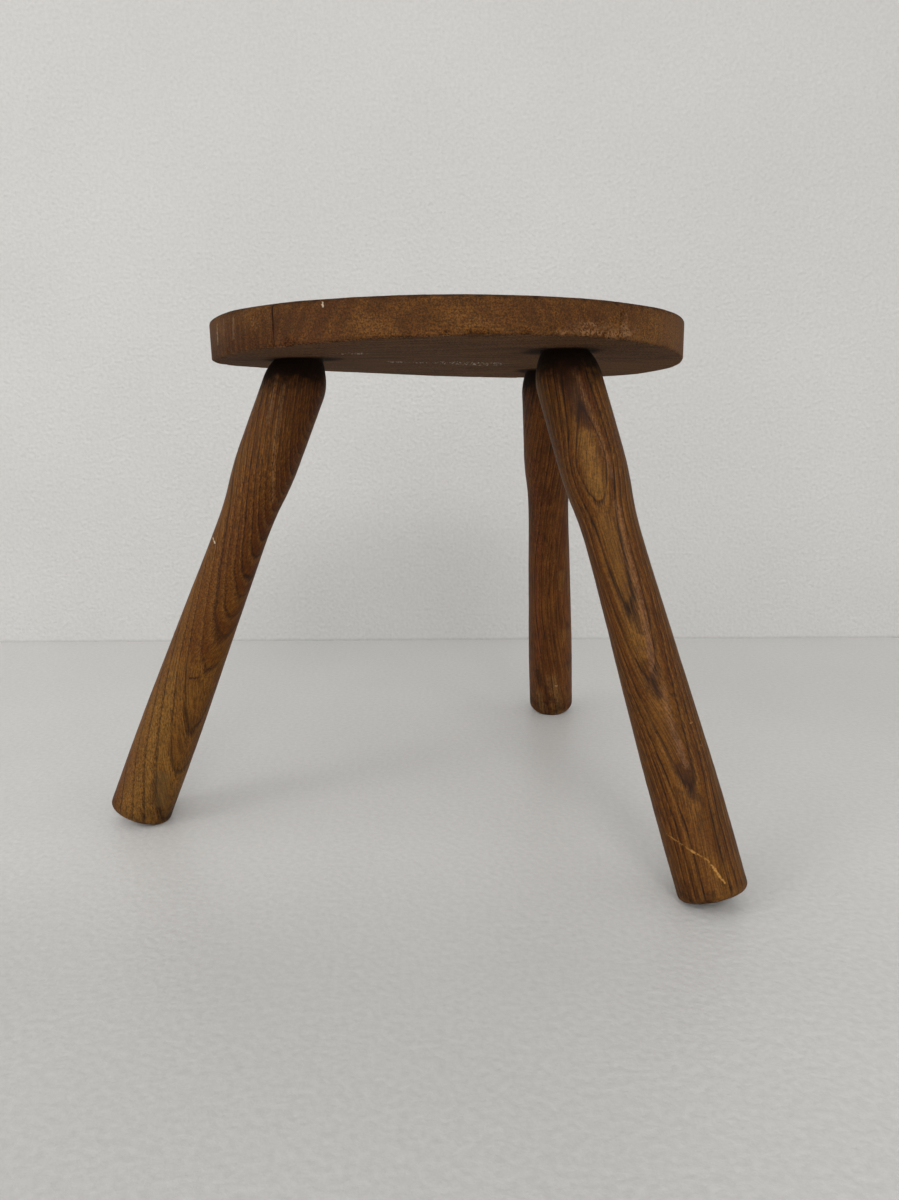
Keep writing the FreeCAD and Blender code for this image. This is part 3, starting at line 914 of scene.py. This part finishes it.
def large_board_marks():
    """The large board's worn streaks of end grain, its crack at a mortise, and specks below."""
    pale, dark, speck = srgb(132, 106, 76), srgb(26, 14, 7), srgb(176, 164, 148)
    ochre = srgb(104, 70, 34)
    tints = (
        (srgb(50, 24, 5), 0.75, rim_line(22, (-160, 10), (-143, 8), (-128, 8)), SOFT),
        (ochre, 0.3, rim_line(6, (-150, 20), (-148, 10)), SOFT),
        (ochre, 0.3, rim_line(6, (-136, 20), (-133, 14)), SOFT),
    )
    crack = low_line(0.9, (40, -58), (60, -56)) + low_line(0.7, (98, -56), (122, -55))
    specks = (
        low_line(8, (-66, -70), (-54, -68)),
        low_line(8, (-41, 5), (-36, 6)) + low_line(7, (-22, 10), (-17, 12)),
        low_line(19, (4, 14), (28, 22)),
    )
    scars = (
        (pale, 0.8, 0.3, rim_line(2.6, (-152.4, 9), (-151.8, 18)), SCUFF),
        (pale, 0.35, 0.2, rim_line(1.2, (-147, 12), (-146.8, 21)), SCUFF),
        (pale, 0.35, 0.2, rim_line(2.2, (-142.2, 9), (-141.6, 20)), SCUFF),
        (dark, 0.9, 0.8, crack, SCRATCH),
        *((speck, 0.9, 0.0, lines, SPECKS) for lines in specks),
    )
    return tints, scars


def front_board_marks():
    """The front board's nick, scuffs and the dark broken line along its lower edge."""
    dark, white = srgb(34, 12, 8), srgb(186, 168, 146)
    light, deep = srgb(112, 74, 34), srgb(62, 31, 12)
    tints = (
        (light, 0.5, rim_line(9, (-107, 13), (-101, 5)), SOFT),
        (light, 0.35, rim_line(7, (-88, 12), (-80, 9)), SOFT),
        (srgb(46, 20, 6), 0.8, rim_line(18, (-127, 12), (-118, 14), (-111, 20)), SOFT),
        (deep, 0.6, rim_line(9, (-126, 2), (-111, 4)), SOFT),
        (deep, 0.4, rim_line(3.5, (-112, 22), (-121, 4)), SOFT),
        (deep, 0.45, rim_line(3, (-82, 18), (-93, 4)), SOFT),
    )
    scars = (
        (white, 0.85, 1.0, rim_line(0.8, (-114.7, 23.4), (-114.5, 20.6)), SCRATCH),
        (dark, 0.75, 0.6, rim_line(0.9, (-102.3, 0.6), (-95, 0.2), (-87.4, 0.4)), SCRATCH),
    )
    return tints, scars


def front_leg_marks():
    """The front leg's light eyes of wood, its porous bands, its stains and the gouge above its foot."""
    ochre, red, dark, bare = srgb(116, 81, 33), srgb(74, 38, 10), srgb(40, 19, 6), srgb(172, 124, 62)
    porous, thigh = srgb(122, 86, 60), srgb(62, 26, 8)
    tints = (
        (red, 0.6, leg_line(15, (-96, -60), (-100, -150), (-92, -330)), SOFT),
        (red, 0.45, leg_line(9, (-15, -60), (-10, -150), (-8, -330)), SOFT),
        (red, 0.35, leg_line(14, (-60, -270), (-50, -334)), SOFT),
        (thigh, 0.75, leg_line(17, (-75, -14), (-45, -20), (-30, -34)), SOFT),
        (thigh, 0.5, leg_line(9, (-42, -30), (-38, -52)), SOFT),
        (ochre, 0.85, leg_line(8, (-52, -58), (-55, -92)), SOFT),
        (ochre, 0.42, leg_line(9, (-58, -110), (-58, -190)), SOFT),
        (srgb(96, 60, 20), 0.4, leg_line(14, (-60, -225), (-62, -280), (-50, -335)), SOFT),
        (porous, 0.55, leg_line(3, (-27, -102), (-33, -127), (-35, -160), (-41, -184), (-48, -205)), BAND),
        (porous, 0.5, leg_line(3, (-40, -213), (-43, -236), (-38, -258)), BAND),
        (porous, 0.45, leg_line(2.6, (-37, -16), (-34, -40), (-27, -60), (-24, -85)), BAND),
    )
    nicks = leg_line(0.6, (-8, -236), (-2, -236)) + leg_line(0.6, (-1, -250), (1, -250))
    scars = (
        (dark, 0.6, 0.2, leg_line(7, (-54, -14), (-47, -44)), STAIN),
        (dark, 0.6, 0.2, leg_line(4.5, (-48, -258), (-38, -268), (-37, -276)), STAIN),
        (dark, 0.5, 0.2, leg_line(3.0, (-52, -170), (-50, -178)), STAIN),
        (dark, 0.5, 0.2, leg_line(3.0, (-50, -209), (-49, -216)), STAIN),
        (dark, 0.9, 0.5, leg_line(0.9, (-71, -236), (-70, -236.5)), SCRATCH),
        (bare, 0.4, 0.8, leg_line(0.8, (-104, -294), (-84, -299), (-66, -305)), SCUFF),
        (bare, 0.75, 1.0, leg_line(0.9, (-66, -305), (-59, -307)), SCRATCH),
        (bare, 0.5, 1.0, leg_line(0.7, (-59, -307), (-45, -312), (-42, -315)), SCUFF),
        (bare, 0.8, 1.0, leg_line(0.9, (-42, -315), (-38, -319), (-30, -326)), SCRATCH),
        (bare, 0.4, 0.3, nicks, SCRATCH),
    )
    return tints, scars


def left_leg_marks():
    """The left leg's dark inner thigh, its paler foot, and its nicks."""
    ochre, red, dark, bare = srgb(116, 83, 36), srgb(64, 27, 4), srgb(38, 18, 6), srgb(196, 178, 150)
    grey, pale, deep = srgb(76, 62, 38), srgb(124, 88, 54), srgb(50, 21, 5)
    tints = (
        (red, 0.85, leg_line(19, (135, -10), (140, -90), (150, -150)), SOFT),
        (red, 0.45, leg_line(22, (80, -10), (85, -120), (100, -200)), SOFT),
        (ochre, 0.65, leg_line(26, (75, -228), (80, -334)), SOFT),
        (ochre, 0.5, leg_line(20, (130, -232), (140, -290), (140, -334)), SOFT),
        (ochre, 0.3, leg_line(10, (40, -70), (36, -150), (45, -210)), SOFT),
        (pale, 0.75, leg_line(1.9, (72, -20), (80, -36), (91, -57), (110, -78), (131, -95)), BAND),
        (pale, 0.6, leg_line(2.3, (53, -16), (59, -30), (67, -46)), BAND),
        (deep, 0.7, leg_line(1.6, (78, -20), (87, -36), (99, -55), (118, -73), (136, -86)), BAND),
        (deep, 0.6, leg_line(1.6, (64, -24), (72, -40), (84, -62), (100, -84), (120, -102)), BAND),
    )
    scars = (
        (bare, 0.9, 1.0, leg_line(1.0, (22, -132), (38, -134)), SCRATCH),
        (dark, 0.85, 0.6, leg_line(1.1, (93, -226), (110, -223), (125, -214)), SCRATCH),
        (grey, 0.35, 0.2, leg_line(7, (104, -298), (122, -316)), STAIN),
        (dark, 0.35, 0.2, leg_line(3, (96, -304), (104, -318)), STAIN),
    )
    return tints, scars


def back_leg_marks():
    """The back leg's reddish strip, its ochre patches and the stains above its foot."""
    ochre, dark, bare = srgb(112, 72, 30), srgb(34, 16, 6), srgb(190, 170, 140)
    red, foot = srgb(100, 50, 22), srgb(112, 80, 44)
    tints = (
        (red, 0.6, leg_line(5, (-210, -70), (-208, -150), (-209, -270)), SOFT),
        (ochre, 0.65, leg_line(6, (-140, -178), (-138, -192)), SOFT),
        (ochre, 0.6, leg_line(5, (-140, -240), (-138, -254)), SOFT),
        (dark, 0.35, leg_line(4, (-150, -150), (-153, -160)), SOFT),
        (dark, 0.35, leg_line(4, (-152, -202), (-158, -216)), SOFT),
        (foot, 0.75, leg_line(7, (-208, -310), (-200, -334)), SOFT),
        (foot, 0.7, leg_line(9, (-172, -290), (-152, -334)), SOFT),
    )
    scars = (
        (dark, 0.6, 0.2, leg_line(5, (-212, -284), (-206, -298)), STAIN),
        (dark, 0.5, 0.2, leg_line(4, (-188, -300), (-184, -318)), STAIN),
        (dark, 0.5, 0.2, leg_line(4, (-178, -312), (-168, -316)), STAIN),
        (bare, 0.9, 0.5, leg_line(0.9, (-163, -298), (-159, -298.5)), SCRATCH),
    )
    return tints, scars


def marks(surface, lines, look):
    """The masks of several marks together."""
    total = None
    for first, last, width in lines:
        takes = {"Surface": surface, "From": first, "To": last, "Width": width, **look}
        mask = use(surface.tree, "Mark", takes)["Mask"]
        total = mask if total is None else maths("MAXIMUM", total, mask)
    return total


# Materials

def new_material(name):
    """A material without nodes yet, and its node tree."""
    material = bpy.data.materials.new(name)
    material.use_nodes = True
    material.node_tree.nodes.clear()
    return material, material.node_tree


def timber_material(name, colours, rings, fibres, patches, strengths, tints=(), scars=()):
    """Old waxed wood.

    colours gives light, deep, early, line, pore, dirt, bare and underneath; rings, fibres and
    patches are values of the shared effects; strengths say how much each effect shows.
    """
    material, tree = new_material(name)
    timber, surface = (attribute(tree, place, "Vector") for place in ("timber", "surface"))
    ring = use(tree, "Growth Rings", {"Timber": timber, **rings})
    grain = use(tree, "Fibres and Pores", {"Timber": timber, **fibres})
    patch = use(tree, "Patches", {"Surface": surface, **patches})
    takes = {"Mask": attribute(tree, "grime"), "Surface": surface}
    grime = use(tree, "Ragged Mask", takes)["Mask"]
    takes = {"Mask": attribute(tree, "arris"), "Surface": surface, "Grain Size": 7.0}
    worn = use(tree, "Ragged Mask", takes)["Mask"]
    colour = mix(patch["Patch"], colours["deep"], colours["light"])
    for tint, share, lines, look in tints:
        colour = mix(marks(surface, lines, look) * share, colour, tint)
    colour = mix(ring["Tone"] * strengths["tone"], colour, colours["deep"])
    colour = mix(ring["Early Wood"] * strengths["early"], colour, colours["early"])
    pore = grain["Pore"] * (ring["Early Wood"] * strengths["pore"] + strengths["pore"] * 0.25)
    line = ring["Line"] * strengths["line"] * ramp(grain["Fibre"], 0.0, 1.0, 1.0, 0.65)
    colour = mix(line, colour, colours["line"])
    colour = mix(pore, colour, colours["pore"])
    below = attribute(tree, "underneath") * 0.85
    colour = mix(below, colour, colours["underneath"])
    fibre = about_one(grain["Fibre"], strengths["fibre"])
    colour = shaded(colour, fibre * about_one(patch["Mottle"], strengths["mottle"]))
    streak = noise(stretched(timber, 2.6, 60.0), 4.0, 0.65)
    colour = shaded(colour, ramp(streak, 0.38, 0.6, -0.3, 0.22) * below + 1.0)
    colour = mix(worn * strengths["worn"], colour, colours["bare"])
    # Darkening by the soiling mask: partly real soiling, partly painted shade at the legs' tops under the
    # seat and round the legs on the underside.
    colour = mix(grime * strengths["grime"], colour, colours["dirt_and_shade"])
    height = grain["Fibre"] * 0.35 + patch["Mottle"] * 0.4 - line * 0.5 - pore * 0.6
    for tint, share, depth, lines, look in scars:
        mask = marks(surface, lines, look)
        colour = mix(mask * share, colour, tint)
        height = height - mask * depth
    rough = ramp(patch["Mottle"], 0.0, 1.0, strengths["gloss"], strengths["gloss"] + 0.14)
    rough = maths("ADD", rough, grime * 0.2, clamp=True)
    rough = maths("ADD", rough, below * 0.35, clamp=True)
    bump = put(tree, "ShaderNodeBump", {"Strength": 0.5, "Distance": 0.3 * MM, "Height": height})
    takes = {
        "Base Color": colour, "Roughness": rough, "Normal": bump,
        "Specular IOR Level": strengths["shine"],
    }
    new_node(tree, "ShaderNodeOutputMaterial", {0: put(tree, "ShaderNodeBsdfPrincipled", takes)})
    return material


# Each board's slot, the place of its pith from the seat's centre and the underside, the seed of
# its unevenness, its dimming and its marks.
SEAT_BOARDS = {
    "seat_board": ("seat_wood", (260.0, 4.0), 1, 1.0, large_board_marks),
    "seat_front_board": ("seat_front_wood", (-330.0, -40.0), 4, 0.97, front_board_marks),
}


def seat_material(name, settings, dimming, seed, tints, scars):
    """The seat boards' waxed wood."""
    colours = dict(
        light=dimmed(settings.rim_light, dimming), deep=dimmed(settings.rim_deep, dimming),
        early=srgb(98, 60, 20), line=srgb(48, 24, 6), pore=srgb(36, 18, 5), dirt_and_shade=srgb(28, 15, 6),
        bare=srgb(122, 86, 52), underneath=tuple(settings.underside),
    )
    rings = {
        "Ring Width": 4.2, "Wander": 1.6, "Wander Length": 160.0, "Line Share": 0.35, "Unevenness": 0.5,
        "Seed": 11.0 * seed,
    }
    fibres = {"Fibre Size": 1.2, "Fibre Length": 34.0, "Pore Size": 1.0, "Pore Length": 5.0}
    patches = {"Patch Size": 30.0, "Mottle Size": 0.9, "Seed": 7.0 * seed}
    strengths = dict(
        tone=0.3, early=0.25, pore=0.6, line=0.4, fibre=0.2, mottle=0.75, worn=0.15, grime=0.9,
        gloss=0.62, shine=0.08,
    )
    right_tints, right_scars = right_rim_marks()
    tints, scars = tints + right_tints, scars + right_scars
    return timber_material(name, colours, rings, fibres, patches, strengths, tints, scars)


LEG_MARKS = {"left": left_leg_marks, "front": front_leg_marks, "back": back_leg_marks}
LEG_RINGS = {
    "front": {
        "Ring Width": 3.5, "Start": 42.2, "Wander": 0.55, "Ripple": 1.0, "Line Share": 0.26,
        "Unevenness": 0.1, "Seed": 3.0,
    },
    "left": {
        "Ring Width": 0.37, "Widening": 0.085, "Start": 20.0, "Wander": 0.9, "Ripple": 1.3,
        "Line Share": 0.25, "Unevenness": 0.45, "Seed": 21.0,
    },
    "back": {
        "Ring Width": 3.2, "Wander": 2.2, "Ripple": 2.0, "Line Share": 0.4, "Unevenness": 0.75,
        "Seed": 5.0,
    },
}
FRONT_LEG_DIMMING = 0.76


def leg_material(leg, settings):
    """A leg's waxed wood, with the rings and the marks that this leg shows."""
    light, deep = tuple(settings.light), tuple(settings.deep)
    if leg == "front":
        light, deep = dimmed(light, FRONT_LEG_DIMMING), dimmed(deep, FRONT_LEG_DIMMING)
    if leg == "back":
        light, deep = tuple(settings.back_light), tuple(settings.back_deep)
    colours = dict(
        light=light, deep=deep, early=srgb(110, 72, 28), line=srgb(30, 13, 3), pore=srgb(32, 15, 4),
        dirt_and_shade=srgb(18, 8, 3), bare=srgb(150, 104, 50), underneath=deep,
    )
    fibres = {"Fibre Size": 0.8, "Fibre Length": 26.0, "Pore Size": 0.75, "Pore Length": 5.0}
    patches = {"Patch Size": 34.0, "Mottle Size": 1.3, "Seed": 5.0 + 3.0 * len(leg)}
    strengths = dict(
        tone=0.6 if leg == "left" else 0.3, early=0.4, pore=0.4 if leg == "front" else 0.75,
        line=settings.ring_line, fibre=0.34, mottle=0.22, worn=0.12, grime=0.95, gloss=0.48, shine=0.12,
    )
    name = "%s_leg_waxed" % leg
    return timber_material(name, colours, LEG_RINGS[leg], fibres, patches, strengths, *LEG_MARKS[leg]())


def wedge_material():
    """The wedges' fine hard wood."""
    colours = dict(
        light=srgb(112, 74, 34), deep=srgb(90, 54, 22), early=srgb(106, 70, 36), line=srgb(66, 38, 16),
        pore=srgb(56, 32, 14), dirt_and_shade=srgb(34, 20, 10), bare=srgb(132, 92, 48), underneath=srgb(90, 54, 22),
    )
    strengths = dict(
        tone=0.3, early=0.3, pore=0.6, line=0.5, fibre=0.15, mottle=0.15, worn=0.4, grime=0.7,
        gloss=0.5, shine=0.25,
    )
    return timber_material(
        "wedge_waxed", colours, {"Ring Width": 1.6, "Wander": 0.4}, {"Fibre Size": 0.7},
        {"Patch Size": 9.0, "Mottle Size": 1.2}, strengths,
    )


def plaster(name, colour, roughness, depth, see_through):
    """Painted plaster with a fine orange-peel relief and painted shade, seen only from its front where
    asked.
    """
    material, tree = new_material(name)
    place = put(tree, "ShaderNodeTexCoord", result="Object")
    cells = put(tree, "ShaderNodeTexVoronoi", {"Vector": place, "Scale": 240.0}, feature="SMOOTH_F1")
    soft = noise(place, 3.0, 0.6, 260.0)
    bump = put(tree, "ShaderNodeBump", {"Strength": 0.6, "Distance": depth, "Height": cells + soft})
    shade = ramp(noise(place, 4.0, 0.5, 4.0), 0.3, 0.7, 0.98, 1.02)
    speckle = ramp(soft, 0.3, 0.7, 0.96, 1.04)
    parts = put_all(tree, "ShaderNodeSeparateXYZ", {0: place})
    if see_through:
        # The wall is darker in a thin line at the floor, and painted shade darkens it high up.
        shade = shade * ramp(parts["Z"], 0.0005, 0.004, 0.84, 1.0)
        shade = shade * ramp(parts["Z"], 0.05, 0.80, 1.0, 0.87)
    else:
        # Painted shade: the floor is a little darker in front of the stool, more so to the left.
        painted_shade = ramp(parts["Y"], -0.10, -0.27) * ramp(parts["X"], 0.05, 0.30, 0.17, 0.07)
        shade = shade * (1.0 - painted_shade)
    tint = shaded(tuple(colour), shade * speckle)
    takes = {"Base Color": tint, "Roughness": roughness, "Normal": bump}
    paint = put(tree, "ShaderNodeBsdfPrincipled", takes)
    if see_through:
        behind = put(tree, "ShaderNodeNewGeometry", result="Backfacing")
        clear = put(tree, "ShaderNodeBsdfTransparent")
        paint = put(tree, "ShaderNodeMixShader", {0: behind, 1: paint, 2: clear})
    new_node(tree, "ShaderNodeOutputMaterial", {0: paint})
    return material


# The stage, in metres

STAGE_REACH = 3.0
LAMP_TINT = (1.0, 0.99, 0.975)
LAMP_AIM = (0.0, 0.0, 0.2)
SKY_TINT = (1.0, 0.995, 0.985, 1.0)
SKY_BEHIND = 0.62
# The lamps' shares of the power, their widths, heights and places.
LAMPS = {
    "window": (0.46, 3.2, 2.0, (-0.5, -2.3, 1.25)),
    "left_lamp": (0.22, 0.6, 0.45, (-1.45, -1.05, 1.35)),
    "right_lamp": (0.32, 0.6, 0.45, (0.32, -1.85, 1.40)),
}
# The photograph's viewpoint, worked out from the outlines of the seat and the legs. The pitch
# down and the roll are in radians, the lens and the sensor in millimetres.
CAMERA_PLACE = (0.033398, -0.665723, 0.274709)
CAMERA_PITCH = 0.191577
CAMERA_ROLL = 0.00532054
LENS = 27.0
SENSOR_WIDTH = 36.0


def light_stage(context, settings):
    """Three soft lamps in front of the stool and above it, and even light from all round."""
    world = bpy.data.worlds.new("room")
    context.scene.world = world
    world.use_nodes = True
    tree = world.node_tree
    tree.nodes.clear()
    seen = put(tree, "ShaderNodeLightPath", result="Is Camera Ray")
    way = put(tree, "ShaderNodeTexCoord", result="Generated")
    height = put(tree, "ShaderNodeSeparateXYZ", {0: way}, "Z")
    # Daylight comes from low down more than from overhead, as it does from windows.
    level = ramp(height, 0.1, 0.9, settings.daylight * 1.3, settings.daylight * 0.68)
    strength = put(tree, "ShaderNodeMix", {0: seen, 2: level, 3: SKY_BEHIND})
    sky = put(tree, "ShaderNodeBackground", {"Color": SKY_TINT, "Strength": strength})
    new_node(tree, "ShaderNodeOutputWorld", {0: sky})
    for name, (share, wide, high, place) in LAMPS.items():
        lamp_data = bpy.data.lights.new(name, "AREA")
        lamp_data.shape = "RECTANGLE"
        lamp_data.size, lamp_data.size_y = wide, high
        lamp_data.energy = settings.lamp_power * share
        lamp_data.color = LAMP_TINT
        lamp = new_object(name, lamp_data)
        lamp.location = place
        lamp.rotation_mode = "QUATERNION"
        lamp.rotation_quaternion = (Vector(LAMP_AIM) - lamp.location).to_track_quat("-Z", "Y")
    context.scene.view_settings.view_transform = "Standard"


def place_camera(context):
    """The camera at the photograph's place: low, in front of the stool, looking down a little."""
    level = Vector((1, 0, 0))
    down = Vector((0, -math.sin(CAMERA_PITCH), -math.cos(CAMERA_PITCH)))
    right = level * math.cos(CAMERA_ROLL) + down * math.sin(CAMERA_ROLL)
    below = down * math.cos(CAMERA_ROLL) - level * math.sin(CAMERA_ROLL)
    ahead = Vector((0, math.cos(CAMERA_PITCH), -math.sin(CAMERA_PITCH)))
    camera_data = bpy.data.cameras.new("camera")
    camera_data.lens = LENS
    camera_data.sensor_width = SENSOR_WIDTH
    camera_data.clip_start = 0.01
    camera = new_object("camera", camera_data)
    turn = Matrix((right, -below, -ahead)).transposed().to_4x4()
    camera.matrix_world = Matrix.Translation(CAMERA_PLACE) @ turn
    context.scene.camera = camera


# Settings

class StoolSeatSettings(bpy.types.PropertyGroup):
    """What a user would change on the seat."""

    rim_light: bpy.props.FloatVectorProperty(
        name="Light Wood", description="Lighter wood of the seat boards", subtype="COLOR",
        size=4, min=0, max=1, default=srgb(83, 51, 16),
    )
    rim_deep: bpy.props.FloatVectorProperty(
        name="Deep Wood", description="Darker wood of the seat boards", subtype="COLOR",
        size=4, min=0, max=1, default=srgb(60, 32, 7),
    )
    underside: bpy.props.FloatVectorProperty(
        name="Underside", description="Dry grey wood of the underside", subtype="COLOR",
        size=4, min=0, max=1, default=srgb(86, 61, 41),
    )


class StoolLegSettings(bpy.types.PropertyGroup):
    """What a user would change on the legs."""

    light: bpy.props.FloatVectorProperty(
        name="Light Wood", description="Lighter wood between the rings", subtype="COLOR",
        size=4, min=0, max=1, default=srgb(104, 66, 13),
    )
    deep: bpy.props.FloatVectorProperty(
        name="Deep Wood", description="Darker wood of the patches", subtype="COLOR",
        size=4, min=0, max=1, default=srgb(80, 43, 5),
    )
    back_light: bpy.props.FloatVectorProperty(
        name="Back Leg, Light Wood", description="Lighter wood of the darker leg", subtype="COLOR",
        size=4, min=0, max=1, default=srgb(96, 54, 17),
    )
    back_deep: bpy.props.FloatVectorProperty(
        name="Back Leg, Deep Wood", description="Darker wood of the darker leg", subtype="COLOR",
        size=4, min=0, max=1, default=srgb(73, 37, 10),
    )
    ring_line: bpy.props.FloatProperty(
        name="Ring Lines", description="How strongly the ring lines show", subtype="FACTOR",
        min=0, max=1, default=0.95,
    )


class StoolStageSettings(bpy.types.PropertyGroup):
    """What a user would change on the stage."""

    floor: bpy.props.FloatVectorProperty(
        name="Floor", description="Colour of the floor", subtype="COLOR",
        size=4, min=0, max=1, default=srgb(206, 205, 203),
    )
    wall: bpy.props.FloatVectorProperty(
        name="Wall", description="Colour of the wall behind the stool", subtype="COLOR",
        size=4, min=0, max=1, default=srgb(197, 196, 194),
    )
    wall_distance: bpy.props.FloatProperty(
        name="Wall Distance", description="From the stool's middle back to the wall",
        subtype="DISTANCE", unit="LENGTH", min=0.25, max=3, default=0.477,
    )
    lamp_power: bpy.props.FloatProperty(
        name="Lamps", description="Power of the three soft lamps together", subtype="POWER", unit="POWER",
        min=0, max=500, default=25.0,
    )
    daylight: bpy.props.FloatProperty(
        name="Daylight", description="Strength of the light from all round", min=0, max=3, default=1.0,
    )


# Operators

class STOOL_OT_stage(bpy.types.Operator):
    """Make the floor, the wall, the lights and the camera"""

    bl_idname = "stool.stage"
    bl_label = "Stage"

    def execute(self, context):
        settings = context.scene.stool_stage
        far, back = STAGE_REACH, settings.wall_distance
        floor = sheet_object("floor", (-far, -far, 0), (far, -far, 0), (far, back, 0), (-far, back, 0))
        wall = sheet_object("wall", (-far, back, 0), (far, back, 0), (far, back, far), (-far, back, far))
        floor.data.materials.append(plaster("floor_paint", settings.floor, 0.42, 0.4 * MM, False))
        wall.data.materials.append(plaster("wall_paint", settings.wall, 0.5, 1.2 * MM, True))
        light_stage(context, settings)
        place_camera(context)
        return {"FINISHED"}


class STOOL_OT_seat(bpy.types.Operator):
    """Make the seat's two boards, worn and twisted, with the mortises for the legs"""

    bl_idname = "stool.seat"
    bl_label = "Seat Boards"

    def execute(self, context):
        slab = round_slab("slab")
        with edited(slab.data) as work:
            # Edges on both sides of the joint, for its groove.
            for away in (-GROOVE_WIDTH, -0.3, 0.3, GROOVE_WIDTH):
                saw(work, JOINT_Y + away)
        boards = [sawn_board(slab, node + "_worn", side) for node, side in zip(SEAT_BOARDS, (1, -1))]
        bpy.data.meshes.remove(slab.data)
        for board in boards:
            board.data.vertices.foreach_set("co", (wear_seat(points_of(board)) * MM).ravel())
            board.data.update()
        cut_away(boards[0], [mortise_rod(leg) for leg in LEG_PLACES])
        for board, node in zip(boards, SEAT_BOARDS):
            slot, pith, seed, dimming, drawn = SEAT_BOARDS[node]
            board_attributes(board, *pith, seed)
            material = seat_material(slot + "_waxed", context.scene.stool_seat, dimming, seed, *drawn())
            finish_piece(board, node, material)
        return {"FINISHED"}


class STOOL_OT_legs(bpy.types.Operator):
    """Make the three turned legs with their tenons"""

    bl_idname = "stool.legs"
    bl_label = "Legs"

    def execute(self, context):
        for seed, leg in enumerate(LEG_PLACES, 1):
            local, faces = turned_shape(leg)
            place = in_stool(leg, wear_leg(leg, local, seed))
            place[:, 2] = np.maximum(place[:, 2], 0)
            piece = solid_object("leg_%s_worn" % leg, place, faces)
            with edited(piece.data) as work:
                bmesh.ops.remove_doubles(work, verts=work.verts, dist=0.01 * MM)
                bmesh.ops.recalc_face_normals(work, faces=work.faces)
            cut_away(piece, [wedge_block("kerf_" + leg, leg, GLUE_LINE, 2 * TENON_RADIUS, KERF_OVER)])
            leg_attributes(piece, leg)
            finish_piece(piece, "leg_" + leg, leg_material(leg, context.scene.stool_legs))
        return {"FINISHED"}


class STOOL_OT_wedges(bpy.types.Operator):
    """Make the wedges that spread the legs' tenons"""

    bl_idname = "stool.wedges"
    bl_label = "Wedges"

    def execute(self, context):
        material = wedge_material()
        head = wedge_half(SEAT_THICKNESS / math.cos(SPLAY) + 2)
        reach = math.sqrt(TENON_RADIUS**2 - head**2) - WEDGE_CLEARANCE
        for seed, leg in enumerate(LEG_PLACES, 1):
            piece = wedge_block("wedge_%s_worn" % leg, leg, 0.0, reach, 0.0)
            local = in_leg(leg, points_of(piece))
            radius = np.hypot(local[:, 0], local[:, 1])
            keep(
                piece, timber=local + (30.0 + 8 * seed, 12.0, 0.0), surface=local, arris=0 * radius,
                grime=ease(9.0, TENON_RADIUS, radius) * 0.6, underneath=0 * radius,
            )
            finish_piece(piece, "wedge_" + leg, material, 25)
        return {"FINISHED"}


# The add-on

class STOOL_PT_panel(bpy.types.Panel):
    """The stool's settings and steps"""

    bl_idname = "STOOL_PT_panel"
    bl_label = "Milking Stool"
    bl_space_type = "VIEW_3D"
    bl_region_type = "UI"
    bl_category = "Stool"

    def draw(self, context):
        scene = context.scene
        for settings, operators in (
            (scene.stool_stage, (STOOL_OT_stage,)),
            (scene.stool_seat, (STOOL_OT_seat,)),
            (scene.stool_legs, (STOOL_OT_legs, STOOL_OT_wedges)),
        ):
            box = self.layout.box()
            for name in settings.__annotations__:
                box.prop(settings, name)
            for operator in operators:
                box.operator(operator.bl_idname)


CLASSES = (
    StoolSeatSettings, StoolLegSettings, StoolStageSettings, STOOL_OT_stage, STOOL_OT_seat,
    STOOL_OT_legs, STOOL_OT_wedges, STOOL_PT_panel,
)


def register():
    """Make the settings, the operators and the panel known to Blender."""
    for made in CLASSES:
        bpy.utils.register_class(made)
    bpy.types.Scene.stool_seat = bpy.props.PointerProperty(type=StoolSeatSettings)
    bpy.types.Scene.stool_legs = bpy.props.PointerProperty(type=StoolLegSettings)
    bpy.types.Scene.stool_stage = bpy.props.PointerProperty(type=StoolStageSettings)


def unregister():
    """Take them out again."""
    del bpy.types.Scene.stool_stage
    del bpy.types.Scene.stool_legs
    del bpy.types.Scene.stool_seat
    for made in reversed(CLASSES):
        bpy.utils.unregister_class(made)


def main():
    """Build everything in order."""
    register()
    bpy.ops.stool.stage()
    bpy.ops.stool.seat()
    bpy.ops.stool.legs()
    bpy.ops.stool.wedges()


if __name__ == "__main__":
    main()
